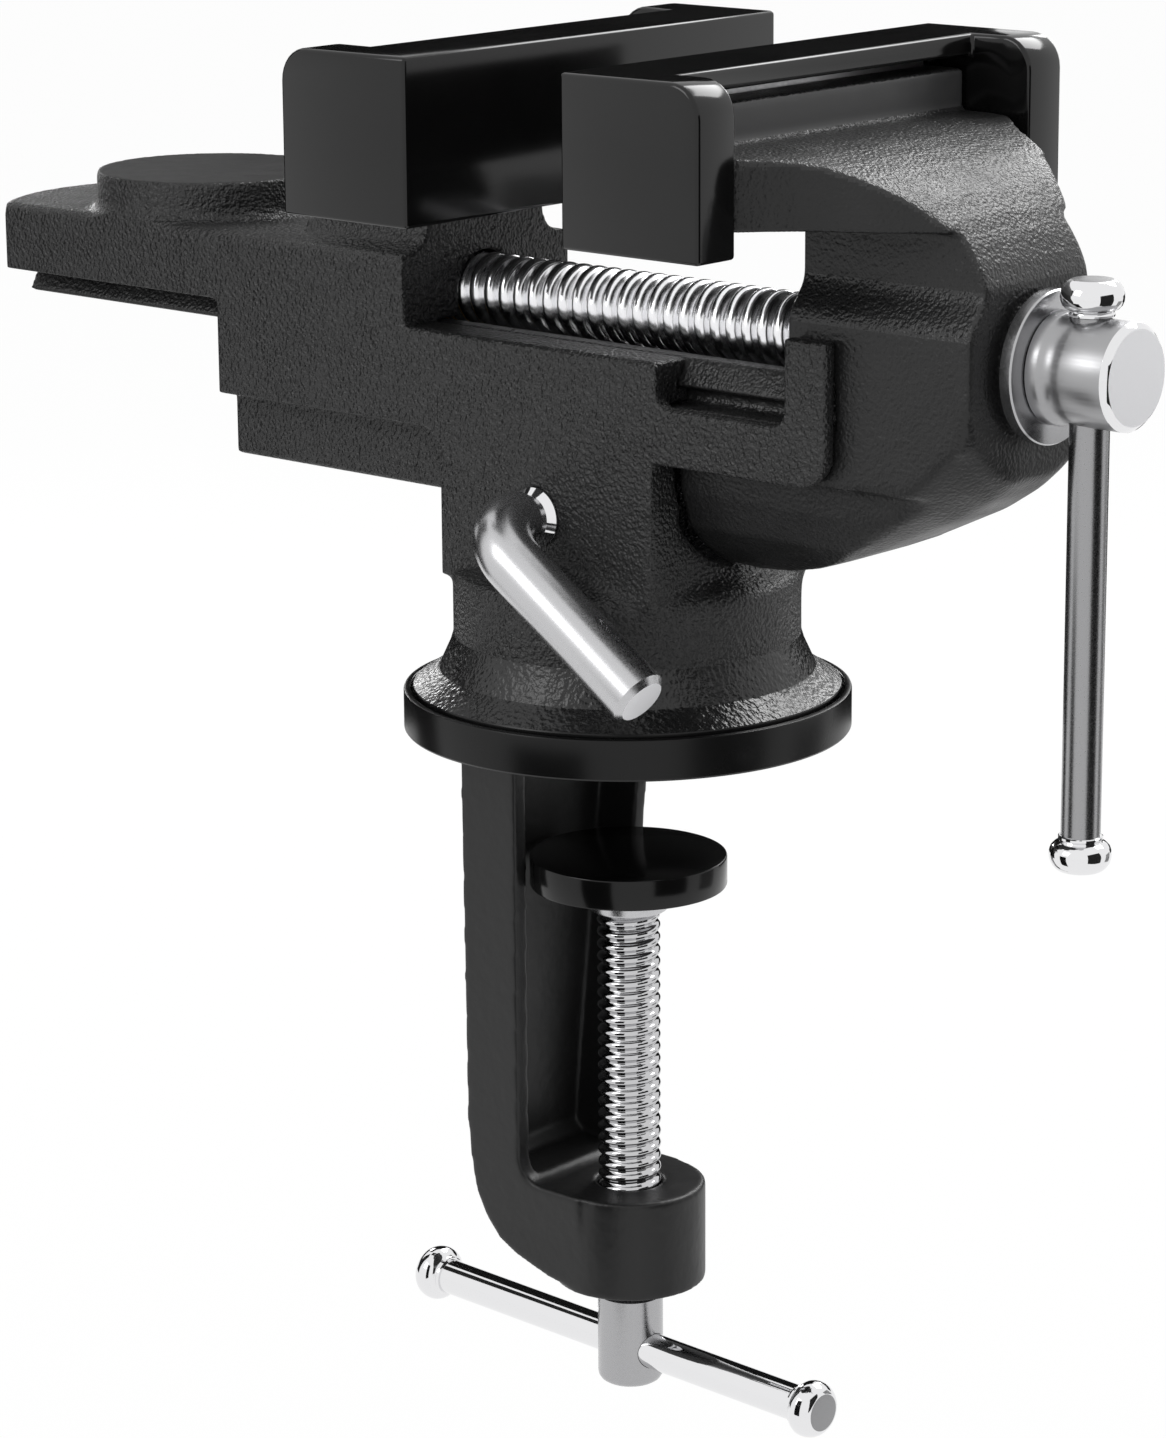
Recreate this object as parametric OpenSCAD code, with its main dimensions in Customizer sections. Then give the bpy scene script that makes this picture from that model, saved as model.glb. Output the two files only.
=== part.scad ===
// Clamp-on swivel bench vise with soft jaw covers, millimetres, Z up.
// The origin is the swivel axis at the bench seat, the underside of the round flange.
// X runs along the main screw towards its handle. The near side, with the lock lever, is -Y.

/* [Bench clamp] */
// Radius of the round flange that sits on the bench
flange_r = 34.5; // [33.9:0.1:38]
// Thickness of the flange
flange_t = 6.4; // [5.5:0.1:9]
// Radius of the shallow recess that the swivel base turns in
recess_r = 33.5; // [33.2:0.1:33.8]
// Depth of that recess
recess_h = 1.2; // [0.8:0.1:1.8]
// Height from the bench seat down to the top of the screw boss
throat_h = 74.6; // [68:0.5:90]
// Distance from the swivel axis to the inner face of the arm, at the top
arm_reach_top = 8.6; // [7:0.1:10]
// The same at the foot of the arm
arm_reach_low = 12.3; // [11:0.1:14]
// Thickness of the arm along X
arm_t = 11.9; // [9:0.1:13]
// Half width of the arm where it meets the flange
arm_half_w = 16.3; // [13:0.1:18]
// Thickness of the side walls of the arm's channel
arm_wall = 2.8; // [2.3:0.1:3.4]
// Thickness of the back of the arm's channel
arm_back = 4; // [3:0.1:6]
// Radius of the boss that carries the clamp screw
boss_r = 12; // [9:0.1:12.5]
// Height of that boss
boss_h = 16.2; // [12:0.1:20]

/* [Clamp screw] */
// Outer radius of the clamp screw's thread
clamp_r = 5; // [4:0.05:5.4]
// Pitch of the clamp screw
clamp_pitch = 2; // [1.5:0.25:2.5]
// Radius of the head that the tommy bar passes through
clamp_head_r = 5.2; // [4.6:0.1:6.5]
// Length of that head
clamp_head_h = 15; // [12:0.1:18]
// Gap between that head and the boss, as drawn
clamp_head_gap = 2.7; // [1:0.1:10]
// Depth of the tommy bar's axis below the top of the head
clamp_bar_depth = 9; // [6:0.1:10]
// Radius of the clamp pad
pad_r = 15.4; // [12:0.1:15.6]
// Thickness of the clamp pad
pad_t = 4.8; // [4:0.1:7]
// Distance from the bench seat down to the top of the pad, as drawn
pad_drop = 20.9; // [12:0.1:30]
// Outer radius of the ring that holds the pad on the screw
pad_ring_r = 6.2; // [5.6:0.1:8]
// Height of that ring
pad_ring_h = 4.1; // [2.5:0.1:5]

/* [Swivel base] */
// Radius of the column under the body
column_r = 26.7; // [25:0.1:28]
// Radius of the skirt that covers the flange's recess
skirt_r = 33; // [31:0.1:33.1]
// Radius of the ring where the steep cone of the skirt ends
skirt_mid_r = 29; // [28.5:0.1:30.5]
// Height of the top of the column
column_top = 24.8; // [22:0.1:25.5]
// Height of the foot of the column, where the skirt starts
column_foot = 14.6; // [12:0.1:17]
// Height of the ring where the steep cone ends
skirt_mid_h = 9.5; // [8:0.1:11]
// Height of the skirt's outer edge
skirt_edge_h = 6.9; // [6:0.1:7.6]
// Radius of the swivel bolt
pivot_r = 5; // [4:0.1:6]
// Radius of the swivel bolt's countersunk head
pivot_head_r = 9.5; // [8:0.1:11]

/* [Body] */
// Half width of the body
body_half_w = 19; // [18.2:0.1:21]
// Rear corner of the body, behind the swivel axis
body_rear = 118.5; // [112:0.1:130]
// How far the rounded rear end bulges behind that corner
rear_bulge = 7.1; // [4:0.1:10]
// Rear face of the thick part of the body, behind the swivel axis
step_rear = 69.3; // [66:0.1:76]
// Front face of the fixed jaw's riser, behind the swivel axis
riser_front = 28.4; // [26:0.1:30]
// Rear face of the riser, behind the swivel axis
riser_rear = 54; // [52:0.1:60]
// Half width of the riser
riser_half_w = 13.2; // [11:0.1:16]
// Start of the side window
window_rear = 22; // [21.6:0.1:22.4]
// Start of the front hook
hook_rear = 45.7; // [42:0.1:46]
// Front face of the hook
hook_front = 53.4; // [52:0.1:55]
// Height of the underside of the body's side walls
wall_low = 46.3; // [43:0.1:47]
// Height of the floor of the side window
window_low = 54.85; // [54.4:0.05:55]
// Height of the deck beside the screw
deck_top = 61.4; // [60.6:0.1:61.8]
// Height of the top of the rear plate
plate_top = 72.2; // [71.8:0.1:76]
// Height of the tip of the hook
hook_top = 67.7; // [65:0.1:69]
// Rear face of the neck, behind the swivel axis
neck_rear = 21.4; // [20:0.1:24]
// Front face of the neck
neck_front = 21.1; // [18:0.1:21.4]
// Half width of the lower slab behind the neck
slab_half_w = 15.2; // [13:0.1:17]
// Height of the underside of that slab
slab_low = 36.1; // [32:0.1:37]
// Thickness of the walls beside the jaw's web, at the front
front_wall = 2.5; // [2:0.1:2.9]
// Radius of the anvil
anvil_r = 18.7; // [16:0.1:18.8]
// Height of the anvil above the rear plate
anvil_h = 6.3; // [4:0.1:9]
// Centre of the anvil, behind the swivel axis
anvil_rear = 89; // [88:0.1:94]

/* [Slide] */
// Height of the underside of the dovetail
dovetail_low = 57.1; // [56.8:0.05:57.4]
// Half width of the dovetail at its underside
dovetail_half_w = 14; // [13:0.1:14.4]
// Half width of the dovetail at its top
dovetail_top_half_w = 11.5; // [10.8:0.1:12]
// Half width of the keel under the dovetail
keel_half_w = 11.4; // [10:0.1:11.6]
// Half width of the slot that the nut stands in
slot_half_w = 8.2; // [7.8:0.1:8.6]
// Rear end of the slide, behind the swivel axis
slide_rear = 119; // [112:0.1:125]
// Length of the bridge that joins the two rails at their rear end
bridge_l = 7; // [5:0.5:10]

/* [Jaws] */
// Overall width of the jaw covers
cover_w = 84; // [80:0.5:90]
// Depth of the jaw covers along X
cover_d = 25; // [22:0.1:28]
// Height of the jaw covers
cover_h = 24.7; // [24:0.1:26]
// Height of the lower edge of the covers
cover_low = 80.9; // [78:0.1:82]
// Thickness of the end plates of the covers
cover_end_t = 8.1; // [5:0.1:9]
// Thickness of the gripping face of the covers
cover_face_t = 3; // [2:0.1:4]
// Thickness of the lip over the jaw
cover_lip_t = 3.2; // [2:0.1:4]
// Depth of the lip over the jaw, from the gripping face
cover_lip_d = 14.4; // [13.6:0.1:18]
// Radius of the covers' rounded rear corner
cover_corner_r = 5; // [2:0.5:8]
// Gap between the gripping faces, as drawn
jaw_gap = 29.7; // [20:0.1:29.8]
// Gripping face of the fixed jaw's cover, behind the swivel axis
fixed_face = 5.3; // [4:0.1:6.5]
// Thickness of the steel jaw plates
plate_t = 3; // [2:0.1:4]
// Height of the steel jaw plates
plate_h = 18; // [14:0.5:18]
// Thickness of the jaw behind its plate
jaw_beam_t = 7.2; // [6:0.1:9]
// Height of the underside of the jaws' horns
horn_low = 84.1; // [83:0.1:85]
// Height where the horn's top leaves the back of the jaw
horn_top = 94.3; // [92:0.1:96]
// Front face of the movable jaw's hub
hub_front = 76.3; // [74:0.1:78]
// Height of the boss that the thrust washer bears on
hub_boss_t = 1; // [0.8:0.1:2]

/* [Main screw] */
// Height of the main screw's axis
screw_z = 64.7; // [64.3:0.05:65]
// Outer radius of the main thread
screw_r = 5.9; // [5:0.05:6]
// Pitch of the main thread
screw_pitch = 3; // [2:0.25:4]
// Rear end of the main screw, behind the swivel axis
screw_rear = 72; // [64:0.5:80]
// Radius of the thrust washer
washer_r = 11; // [9.6:0.1:12]
// Thickness of the thrust washer
washer_t = 2.1; // [1.5:0.1:3]
// Radius of the screw's head
head_r = 7.7; // [7:0.1:9]
// Length of the screw's head
head_l = 13.3; // [12.4:0.1:16]
// Chamfer on the heads and rods
chamfer = 0.9; // [0.5:0.1:1.2]

/* [Bars] */
// Radius of the handle and of the tommy bar
bar_r = 2.85; // [2.4:0.05:3.2]
// Radius of their knobs
knob_r = 4.5; // [4:0.1:4.6]
// Thickness of their knobs
knob_t = 5.2; // [4.5:0.1:6]
// Length of the main handle between its knobs
handle_l = 74.5; // [60:0.1:90]
// Length of the tommy bar between its knobs
tommy_l = 77; // [60:0.1:90]
// How far the tommy bar is pushed towards -X, as drawn
tommy_shift = 2.7; // [0:0.1:6]
// Turn of the tommy bar about the clamp screw, in degrees
tommy_turn = -2.8; // [-30:0.1:30]

/* [Swivel lock] */
// Place of the lock lever's axis behind the swivel axis
lock_rear = 1.6; // [1:0.1:4]
// Height of the lock lever's axis
lock_z = 35.5; // [35:0.1:36]
// Radius of the lock lever's rod
lever_r = 4.5; // [4.2:0.1:5]
// Radius of the lock lever's threaded end
lever_thread_r = 4; // [3.4:0.1:4]
// Distance from the swivel axis to the lever's long arm
lever_reach = 30.7; // [29.5:0.1:34]
// Length of the long arm from the lever's axis
lever_l = 37.5; // [30:0.5:45]
// Angle of the long arm below the horizontal, in degrees
lever_drop = 34.4; // [0:0.1:38]
// Radius of the pin that presses on the flange
lock_pin_r = 2.2; // [1.8:0.1:2.4]

/* [Hidden] */
// Running gap of shafts and threads in their holes
fit = 0.06;
// Gap between pieces that slide or lie on each other
seat = 0.1;
// Gap between castings that pass each other
slide_gap = 0.4;
// Overrun of cuts past a face
over = 1;
// Smoothness of round faces
$fn = 64;

// Places along X of the movable jaw
move_face = jaw_gap - fixed_face;
move_back = move_face + cover_face_t + plate_t + seat + jaw_beam_t;
fixed_back = fixed_face + cover_face_t + plate_t + seat + jaw_beam_t;
// Half width of the jaws under their covers
jaw_half_w = cover_w / 2 - cover_end_t - slide_gap;
cover_top = cover_low + cover_h;
// Top of the jaw castings, under the covers' lips
beam_relief = 1.8;
jaw_top = cover_top - cover_lip_t - 2 * fit - beam_relief;
// The front channel and what slides in it
channel_half_w = body_half_w - front_wall;
web_half_w = channel_half_w - slide_gap;
// The rear end of the hollow neck, which takes the jaw's hull when the jaws close
cavity_rear = neck_front - jaw_gap - over;
// The hull's top, which passes under the guide
shelf_top = window_low - seat - fit;
// Start of the jaw's full width beside the guide, which clears the window when the jaws close
wide_start = window_rear + jaw_gap + over;
// How far the web's rear face stands behind the hook's
web_lead = 1.6;
boss_rear = hook_rear - web_lead;
// Neck of the web under the horn: how far it stands in, and the levels between which it widens to the hub
web_neck_in = 3.5;
web_neck_low = 69.5;
web_neck_high = 76.5;
// How far the hull's round nose stands outside its keel
nose_gap = 0.8;
hub_boss_r = 9.4;
washer_rear = hub_front + hub_boss_t + seat;
head_rear = washer_rear + washer_t + seat;
head_front = head_rear + head_l;
// Collar at the root of the head
root_r = head_r + 0.4 * chamfer;
root_l = 2.2;
groove_r = head_r - 0.3 * chamfer;
// Main handle: its axis and the level of its upper stop
handle_x = head_rear + 5.6;
// Depth of threads
main_depth = 1.15;
clamp_depth = 0.75;
// Clamp screw levels
pad_top = -pad_drop;
pad_low = pad_top - pad_t;
ring_low = pad_low - pad_ring_h;
boss_top = -throat_h;
boss_low = boss_top - boss_h;
clamp_head_top = boss_low - clamp_head_gap;
clamp_head_low = clamp_head_top - clamp_head_h;
tommy_z = clamp_head_top - clamp_bar_depth;
spigot_r = 3.4;
spigot_neck_r = 2.5;
spigot_h = 2.9;
// Nut and its seat in the body
nut_half_w = slot_half_w - slide_gap;
nut_front = riser_front + 5.2;
nut_l = 18;
nut_wall = 7.2;
nut_gap = 0.2;
keeper_t = 3;
keeper_edge = 9;
keeper_half_w = 10.6;
keeper_screw_r = 2;
keeper_screw_l = 9;
nut_low = slab_low + keeper_t + seat;
nut_top = screw_z + nut_half_w;
// Retaining pin of the main screw
pin_r = 2;
pin_inset = 13.5;
pin_x = hub_front - pin_inset;
pin_groove = 1.5;
pin_z = screw_z - screw_r + pin_groove - pin_r - fit;
pin_end = 9;
// Jaw plate screws
plate_screw_y = 20;
plate_screw_r = 2.5;
plate_screw_head_r = 4.6;
plate_screw_l = 8;
plate_low = horn_low + seat;
plate_screw_z = plate_low + plate_h / 2;
// Swivel pivot
pivot_cone_h = pivot_head_r - pivot_r;
pivot_top = column_top - 6;
pivot_sink = 0.3;
base_low = flange_t - recess_h + seat;
// Lock
lock_y = -body_half_w + 3.8;
lock_tip_y = lock_y + 0.2;
lever_tip_r = 1.2;
lever_cone_l = 2.8;
lock_pin_top = lock_z - 1.9;
lever_bend_r = 8;
lever_neck_r = lever_r - 1;
// Reach of the gusset behind the fixed jaw's riser front
gusset_l = 9;
// Edge radius of the castings' top edges
edge_r = 1.7;
hook_r = 5.5;
anvil_foot = 1.6;
window_r = 2;
flare = 3.2;

// Width of the hull under the body: shares of the keel's half width and of the hull's depth
hull_half_w = 13.2;
hull_low = 28.3;
hull_shares = [[0, 0], [0.3, 0.1], [0.58, 0.25], [0.82, 0.43], [0.95, 0.72], [1, 1]];
// Underside of the hull: shares of its length and of its rise to the hub
keel_line_shares = [[0, 0.035], [0.1, 0], [0.24, 0.06], [0.37, 0.15], [0.5, 0.27], [0.61, 0.39],
    [0.72, 0.53], [0.83, 0.67], [0.93, 0.84], [1, 1]];
// Side of the web's neck: shares of its height and of how far it stands in
web_neck_shares = [[0, 0], [0.14, 0.04], [0.32, 0.2], [0.5, 0.48], [0.68, 0.78], [0.86, 0.96], [1, 1]];
// Plan of the horns: shares of their length and of the jaw's half width
horn_plan_shares = [[0, 1], [0.17, 1], [0.27, 0.95], [0.34, 0.86], [0.42, 0.77], [0.49, 0.71], [0.59, 0.65],
    [0.67, 0.6], [0.76, 0.52], [0.85, 0.45], [0.93, 0.39], [1, 0.36]];
// Heel of the clamp arm: shares of its thickness and of the boss's height
arm_heel_shares = [[0.916, 0.494], [0.874, -0.006], [0.798, -0.284], [0.664, -0.481], [0.437, -0.673],
    [0.143, -0.79], [-0.479, -0.932]];
// Top line of the horns: shares of their length and of their fall
horn_line_shares = [[0, 0], [0.24, 0], [0.37, 0.02], [0.49, 0.07], [0.59, 0.14], [0.67, 0.22], [0.76, 0.34],
    [0.85, 0.5], [0.92, 0.67], [0.97, 0.84], [1, 1]];

// Colours
cast_black = [0.12, 0.12, 0.125];
gloss_black = [0.05, 0.05, 0.055];
bright_steel = [0.78, 0.79, 0.8];
plain_steel = [0.5, 0.51, 0.53];
bronze = [0.66, 0.5, 0.28];

// Points of an arc about a centre
function arc(c, r, from, to, n = 8) = [for (i = [0:n]) let (a = from + (to - from) * i / n)
    [c[0] + r * cos(a), c[1] + r * sin(a)]];
// Shares turned into points: start, length and two scales
function shared(shares, x0, l, y0, h) = [for (s = shares) [x0 + s[0] * l, y0 + s[1] * h]];
function mirrored(pts) = [for (i = [len(pts) - 1:-1:0]) [-pts[i][0], pts[i][1]]];

// Prism across the body: its outline is in X and Z
module side_prism(pts, half_w) {
    translate([0, half_w, 0]) rotate([90, 0, 0]) linear_extrude(height = 2 * half_w) polygon(pts);
}
// Prism along the body: its outline is in Y and Z
module long_prism(pts, from, to) {
    translate([from, 0, 0]) rotate([90, 0, 90]) linear_extrude(height = to - from) polygon(pts);
}
// Prism standing upright: its outline is in X and Y
module plan_prism(pts, low, high) {
    translate([0, 0, low]) linear_extrude(height = high - low) polygon(pts);
}
// Block between two X places, centred on Y, between two levels
module block(from, to, half_w, low, high) {
    translate([from, -half_w, low]) cube([to - from, 2 * half_w, high - low]);
}
// Round bar along X, Y or Z
module x_rod(r, from, to) { translate([from, 0, 0]) rotate([0, 90, 0]) cylinder(r = r, h = to - from); }
module y_rod(r, from, to) { translate([0, from, 0]) rotate([-90, 0, 0]) cylinder(r = r, h = to - from); }
module z_rod(r, from, to) { translate([0, 0, from]) cylinder(r = r, h = to - from); }

// Round body turned from an outline of radius and height
module turned(pts) { rotate_extrude() polygon(pts); }
// Outline of a thread with the same tooth at each pitch, from one level to another
function thread(r, depth, pitch, from, to) = let (n = floor((to - from) / pitch))
    [for (i = [0:n - 1]) let (z = from + i * pitch) each [[r - depth, z], [r - depth, z + 0.24 * pitch],
        [r, z + 0.46 * pitch], [r, z + 0.78 * pitch]]];
// Knob on the end of a bar: a neck ring, a round belly and a flat end
module knob() {
    neck_r = bar_r + 0.4 * chamfer;
    turned(concat([[0, 0], [neck_r, 0], [neck_r, 0.12 * knob_t]],
        [for (a = [-60:15:90])
            [knob_r * (0.72 + 0.28 * cos(a)), knob_t * (0.52 + 0.48 * sin(a) * (a < 0 ? 0.7 : 1))]],
        [[0, knob_t]]));
}
// Countersunk screw pointing up, its head's flat face at 0
module sunk_screw(r, head_r, l) {
    turned([[0, 0], [head_r, 0], [head_r, 0.1 * head_r], [r, head_r - r + 0.1 * head_r], [r, l - 0.3 * r],
        [0.7 * r, l], [0, l]]);
}
module sunk_hole(r, head_r, l) {
    translate([0, 0, -over]) cylinder(r = head_r + fit, h = over + 0.1 * head_r + fit);
    turned([[0, 0], [head_r + fit, 0], [head_r + fit, 0.1 * head_r + fit],
        [r + fit, head_r - r + 0.1 * head_r + fit], [r + fit, l + fit], [0, l + fit]]);
}

// Bench clamp casting: flange, arm and screw boss
module arm_outline() {
    polygon(concat(
        [[-arm_reach_top - arm_t, flange_t / 2], [-arm_reach_top - arm_t, -arm_back]],
        shared(arm_heel_shares, -arm_reach_low, -arm_t, boss_top, boss_h),
        [[0, boss_low + 0.04 * boss_h], [0, boss_top]],
        arc([-arm_reach_low + 4, boss_top + 4], 4, 270, 180),
        [[-arm_reach_top, flange_t / 2]]));
}
module arm_pocket() {
    back_top = -arm_reach_top - arm_t + arm_back;
    back_low = -arm_reach_low - arm_t + arm_back;
    side_prism([[back_top, 0], [back_low, boss_top + 3], [back_low + 2, boss_top + 1],
        [0, boss_top + 1], [0, 0]], arm_half_w + over);
}
module arm_width(inset) {
    w_top = arm_half_w - inset;
    w_low = boss_r - inset;
    long_prism([[-w_top, flange_t / 2], [-w_top, -arm_back], [-w_low, boss_top - 0.5 * boss_h],
        [-w_low, boss_low], [w_low, boss_low], [w_low, boss_top - 0.5 * boss_h], [w_top, -arm_back],
        [w_top, flange_t / 2]], -flange_r, boss_r);
}
module clamp_frame() color(gloss_black) difference() {
    union() {
        turned([[0, 0], [flange_r - 0.5 * chamfer, 0], [flange_r, 0.5 * chamfer],
            [flange_r, flange_t - 0.4 * chamfer], [flange_r - 0.4 * chamfer, flange_t], [recess_r, flange_t],
            [recess_r, flange_t - recess_h], [0, flange_t - recess_h]]);
        difference() {
            intersection() {
                translate([0, arm_half_w + over, 0]) rotate([90, 0, 0])
                    linear_extrude(height = 2 * (arm_half_w + over)) arm_outline();
                arm_width(0);
            }
            intersection() {
                arm_pocket();
                arm_width(arm_wall);
            }
        }
        z_rod(boss_r, boss_low, boss_top);
    }
    z_rod(clamp_r + fit, boss_low - over, boss_top + over);
    z_rod(pivot_r + fit, -over, flange_t + over);
    translate([0, 0, -over]) cylinder(r = pivot_head_r + seat, h = over + pivot_sink);
    translate([0, 0, pivot_sink]) cylinder(r1 = pivot_head_r + seat, r2 = pivot_r + fit, h = pivot_cone_h);
}

// Countersunk bolt that holds the swivel base down on the flange
module swivel_bolt() color(plain_steel) difference() {
    turned([[0, pivot_sink], [pivot_head_r - fit, pivot_sink], [pivot_r, pivot_sink + pivot_cone_h - fit],
        [pivot_r, pivot_top - chamfer], [pivot_r - chamfer, pivot_top], [0, pivot_top]]);
    translate([0, 0, pivot_sink - over]) cylinder(r = 0.62 * pivot_r, h = over + 0.6 * pivot_cone_h, $fn = 6);
}

// Clamp screw with its spigot, thread and cross-drilled head
module clamp_screw() color(bright_steel) difference() {
    turned(concat([[0, clamp_head_low], [clamp_head_r - chamfer, clamp_head_low],
        [clamp_head_r, clamp_head_low + chamfer], [clamp_head_r, clamp_head_top - 0.4 * chamfer],
        [clamp_head_r - 0.4 * chamfer, clamp_head_top]],
        thread(clamp_r, clamp_depth, clamp_pitch, clamp_head_top, ring_low - seat),
        [[clamp_r - clamp_depth, ring_low - seat], [spigot_neck_r, ring_low - seat],
        [spigot_neck_r, pad_low + fit], [spigot_r, pad_low + fit], [spigot_r, pad_low + spigot_h],
        [0, pad_low + spigot_h]]));
    translate([0, 0, tommy_z]) rotate([0, 0, tommy_turn]) x_rod(bar_r + fit, -2 * clamp_head_r, 2 * clamp_head_r);
}
module clamp_pad() color(gloss_black) difference() {
    turned([[0, pad_low], [pad_r - 0.5 * chamfer, pad_low], [pad_r, pad_low + 0.5 * chamfer],
        [pad_r, pad_top - 0.5 * chamfer], [pad_r - 0.5 * chamfer, pad_top], [0, pad_top]]);
    z_rod(spigot_r + fit, pad_low - over, pad_low + spigot_h + seat);
}
module pad_retaining_ring() color(bright_steel) difference() {
    turned([[0, ring_low], [pad_ring_r - 0.5 * chamfer, ring_low], [pad_ring_r, ring_low + 0.5 * chamfer],
        [pad_ring_r, pad_low], [0, pad_low]]);
    z_rod(spigot_neck_r + fit, ring_low - over, pad_low + over);
}

// Loose bars with a knob at each end
module bar_knobs(l) {
    translate([0, 0, l / 2]) knob();
    mirror([0, 0, 1]) translate([0, 0, l / 2]) knob();
}
module tommy_place() {
    translate([0, 0, tommy_z]) rotate([0, 0, tommy_turn]) translate([-tommy_shift, 0, 0]) rotate([0, 90, 0])
        children();
}
module tommy_bar() color(bright_steel) tommy_place() z_rod(bar_r, -tommy_l / 2, tommy_l / 2);
module tommy_bar_knobs() color(bright_steel) tommy_place() bar_knobs(tommy_l);
handle_mid = screw_z + head_r + seat - handle_l / 2;
module handle_bar() color(bright_steel) translate([handle_x, 0, handle_mid])
    z_rod(bar_r, -handle_l / 2, handle_l / 2);
module handle_knobs() color(bright_steel) translate([handle_x, 0, handle_mid]) bar_knobs(handle_l);

// Outline of the hull under the jaw, in Y and Z, grown by a gap
function hull_section(grow) = let (side = [for (s = hull_shares)
    [s[0] * hull_half_w + (s[0] > 0 ? grow : 0), hull_low + s[1] * (wall_low - hull_low) - grow]])
    concat(mirrored(side), [for (i = [1:len(side) - 1]) side[i]]);
function hull_room(grow) = concat(hull_section(grow), [[web_half_w + grow, wall_low - grow],
    [web_half_w + grow, shelf_top + 2 * fit + grow * 0.2], [-web_half_w - grow, shelf_top + 2 * fit + grow * 0.2],
    [-web_half_w - grow, wall_low - grow]]);
// Outline of the dovetail, in Y and Z, grown by a gap
function dovetail(grow) = [[-dovetail_half_w - grow, dovetail_low - grow],
    [dovetail_half_w + grow, dovetail_low - grow], [dovetail_top_half_w + grow, deck_top - seat + grow],
    [-dovetail_top_half_w - grow, deck_top - seat + grow]];

// Outline of the body's side, in X and Z
body_side = concat(
    [[-body_rear - rear_bulge, deck_top], [-step_rear, deck_top], [-step_rear, wall_low]],
    arc([hook_front - hook_r, wall_low + hook_r], hook_r, 270, 360),
    [[hook_front, hook_top], [hook_rear, hook_top]],
    arc([hook_rear - window_r, window_low + window_r], window_r, 360, 270, 5),
    arc([window_rear + window_r, window_low + window_r], window_r, 270, 180, 5),
    [[window_rear, deck_top], [-riser_front, deck_top], [-riser_front, plate_top],
    [-body_rear - rear_bulge, plate_top]]);
body_top_section = concat([[-body_half_w, wall_low - over], [body_half_w, wall_low - over]],
    arc([body_half_w - edge_r, plate_top - edge_r], edge_r, 0, 90, 5),
    arc([-body_half_w + edge_r, plate_top - edge_r], edge_r, 90, 180, 5));
// Plan of the body, with its bulging rear end
bulge_r = (body_half_w * body_half_w + rear_bulge * rear_bulge) / (2 * rear_bulge);
bulge_a = asin(body_half_w / bulge_r);
body_plan = concat([[hook_front + over, -body_half_w - over], [hook_front + over, body_half_w + over],
    [-body_rear, body_half_w + over]],
    arc([-body_rear - rear_bulge + bulge_r, 0], bulge_r, 180 - bulge_a, 180 + bulge_a, 16),
    [[-body_rear, -body_half_w - over]]);

// Fixed jaw above the body: riser, horn and jaw beam
module fixed_horn_plan(half_w, from, to) {
    pts = [for (s = horn_plan_shares) [-from - s[0] * (to - from), max(s[1] * half_w, riser_half_w)]];
    polygon(concat(pts, [for (i = [len(pts) - 1:-1:0]) [pts[i][0], -pts[i][1]]]));
}
module fixed_jaw() {
    front = fixed_back - jaw_beam_t;
    gusset_rear = riser_front + gusset_l;
    block(-fixed_back, -front, jaw_half_w, horn_low, jaw_top);
    side_prism([[-riser_front, plate_top - over], [-riser_front, horn_low + over], [-fixed_back + over, horn_low],
        [-fixed_back + over, horn_top + over], [-fixed_back, horn_top + over], [-riser_front, horn_top],
        [-gusset_rear, horn_low + 0.45 * (horn_top - horn_low)], [-riser_rear, plate_top + over],
        [-riser_rear, plate_top - over]], riser_half_w);
    intersection() {
        translate([0, 0, horn_low]) linear_extrude(height = horn_top - horn_low)
            fixed_horn_plan(jaw_half_w, fixed_back - over, gusset_rear);
        side_prism([[-front, horn_low], [-front, horn_top], [-riser_front, horn_top],
            [-gusset_rear, horn_low + 0.45 * (horn_top - horn_low)], [-gusset_rear, horn_low]], jaw_half_w + over);
    }
    long_prism([[-riser_half_w - flare, plate_top - over], [riser_half_w + flare, plate_top - over],
        [riser_half_w + flare, plate_top], [riser_half_w + 0.35 * flare, plate_top + 0.3 * flare],
        [riser_half_w, plate_top + flare], [-riser_half_w, plate_top + flare],
        [-riser_half_w - 0.35 * flare, plate_top + 0.3 * flare], [-riser_half_w - flare, plate_top]],
        -riser_rear, -riser_front);
}
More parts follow.
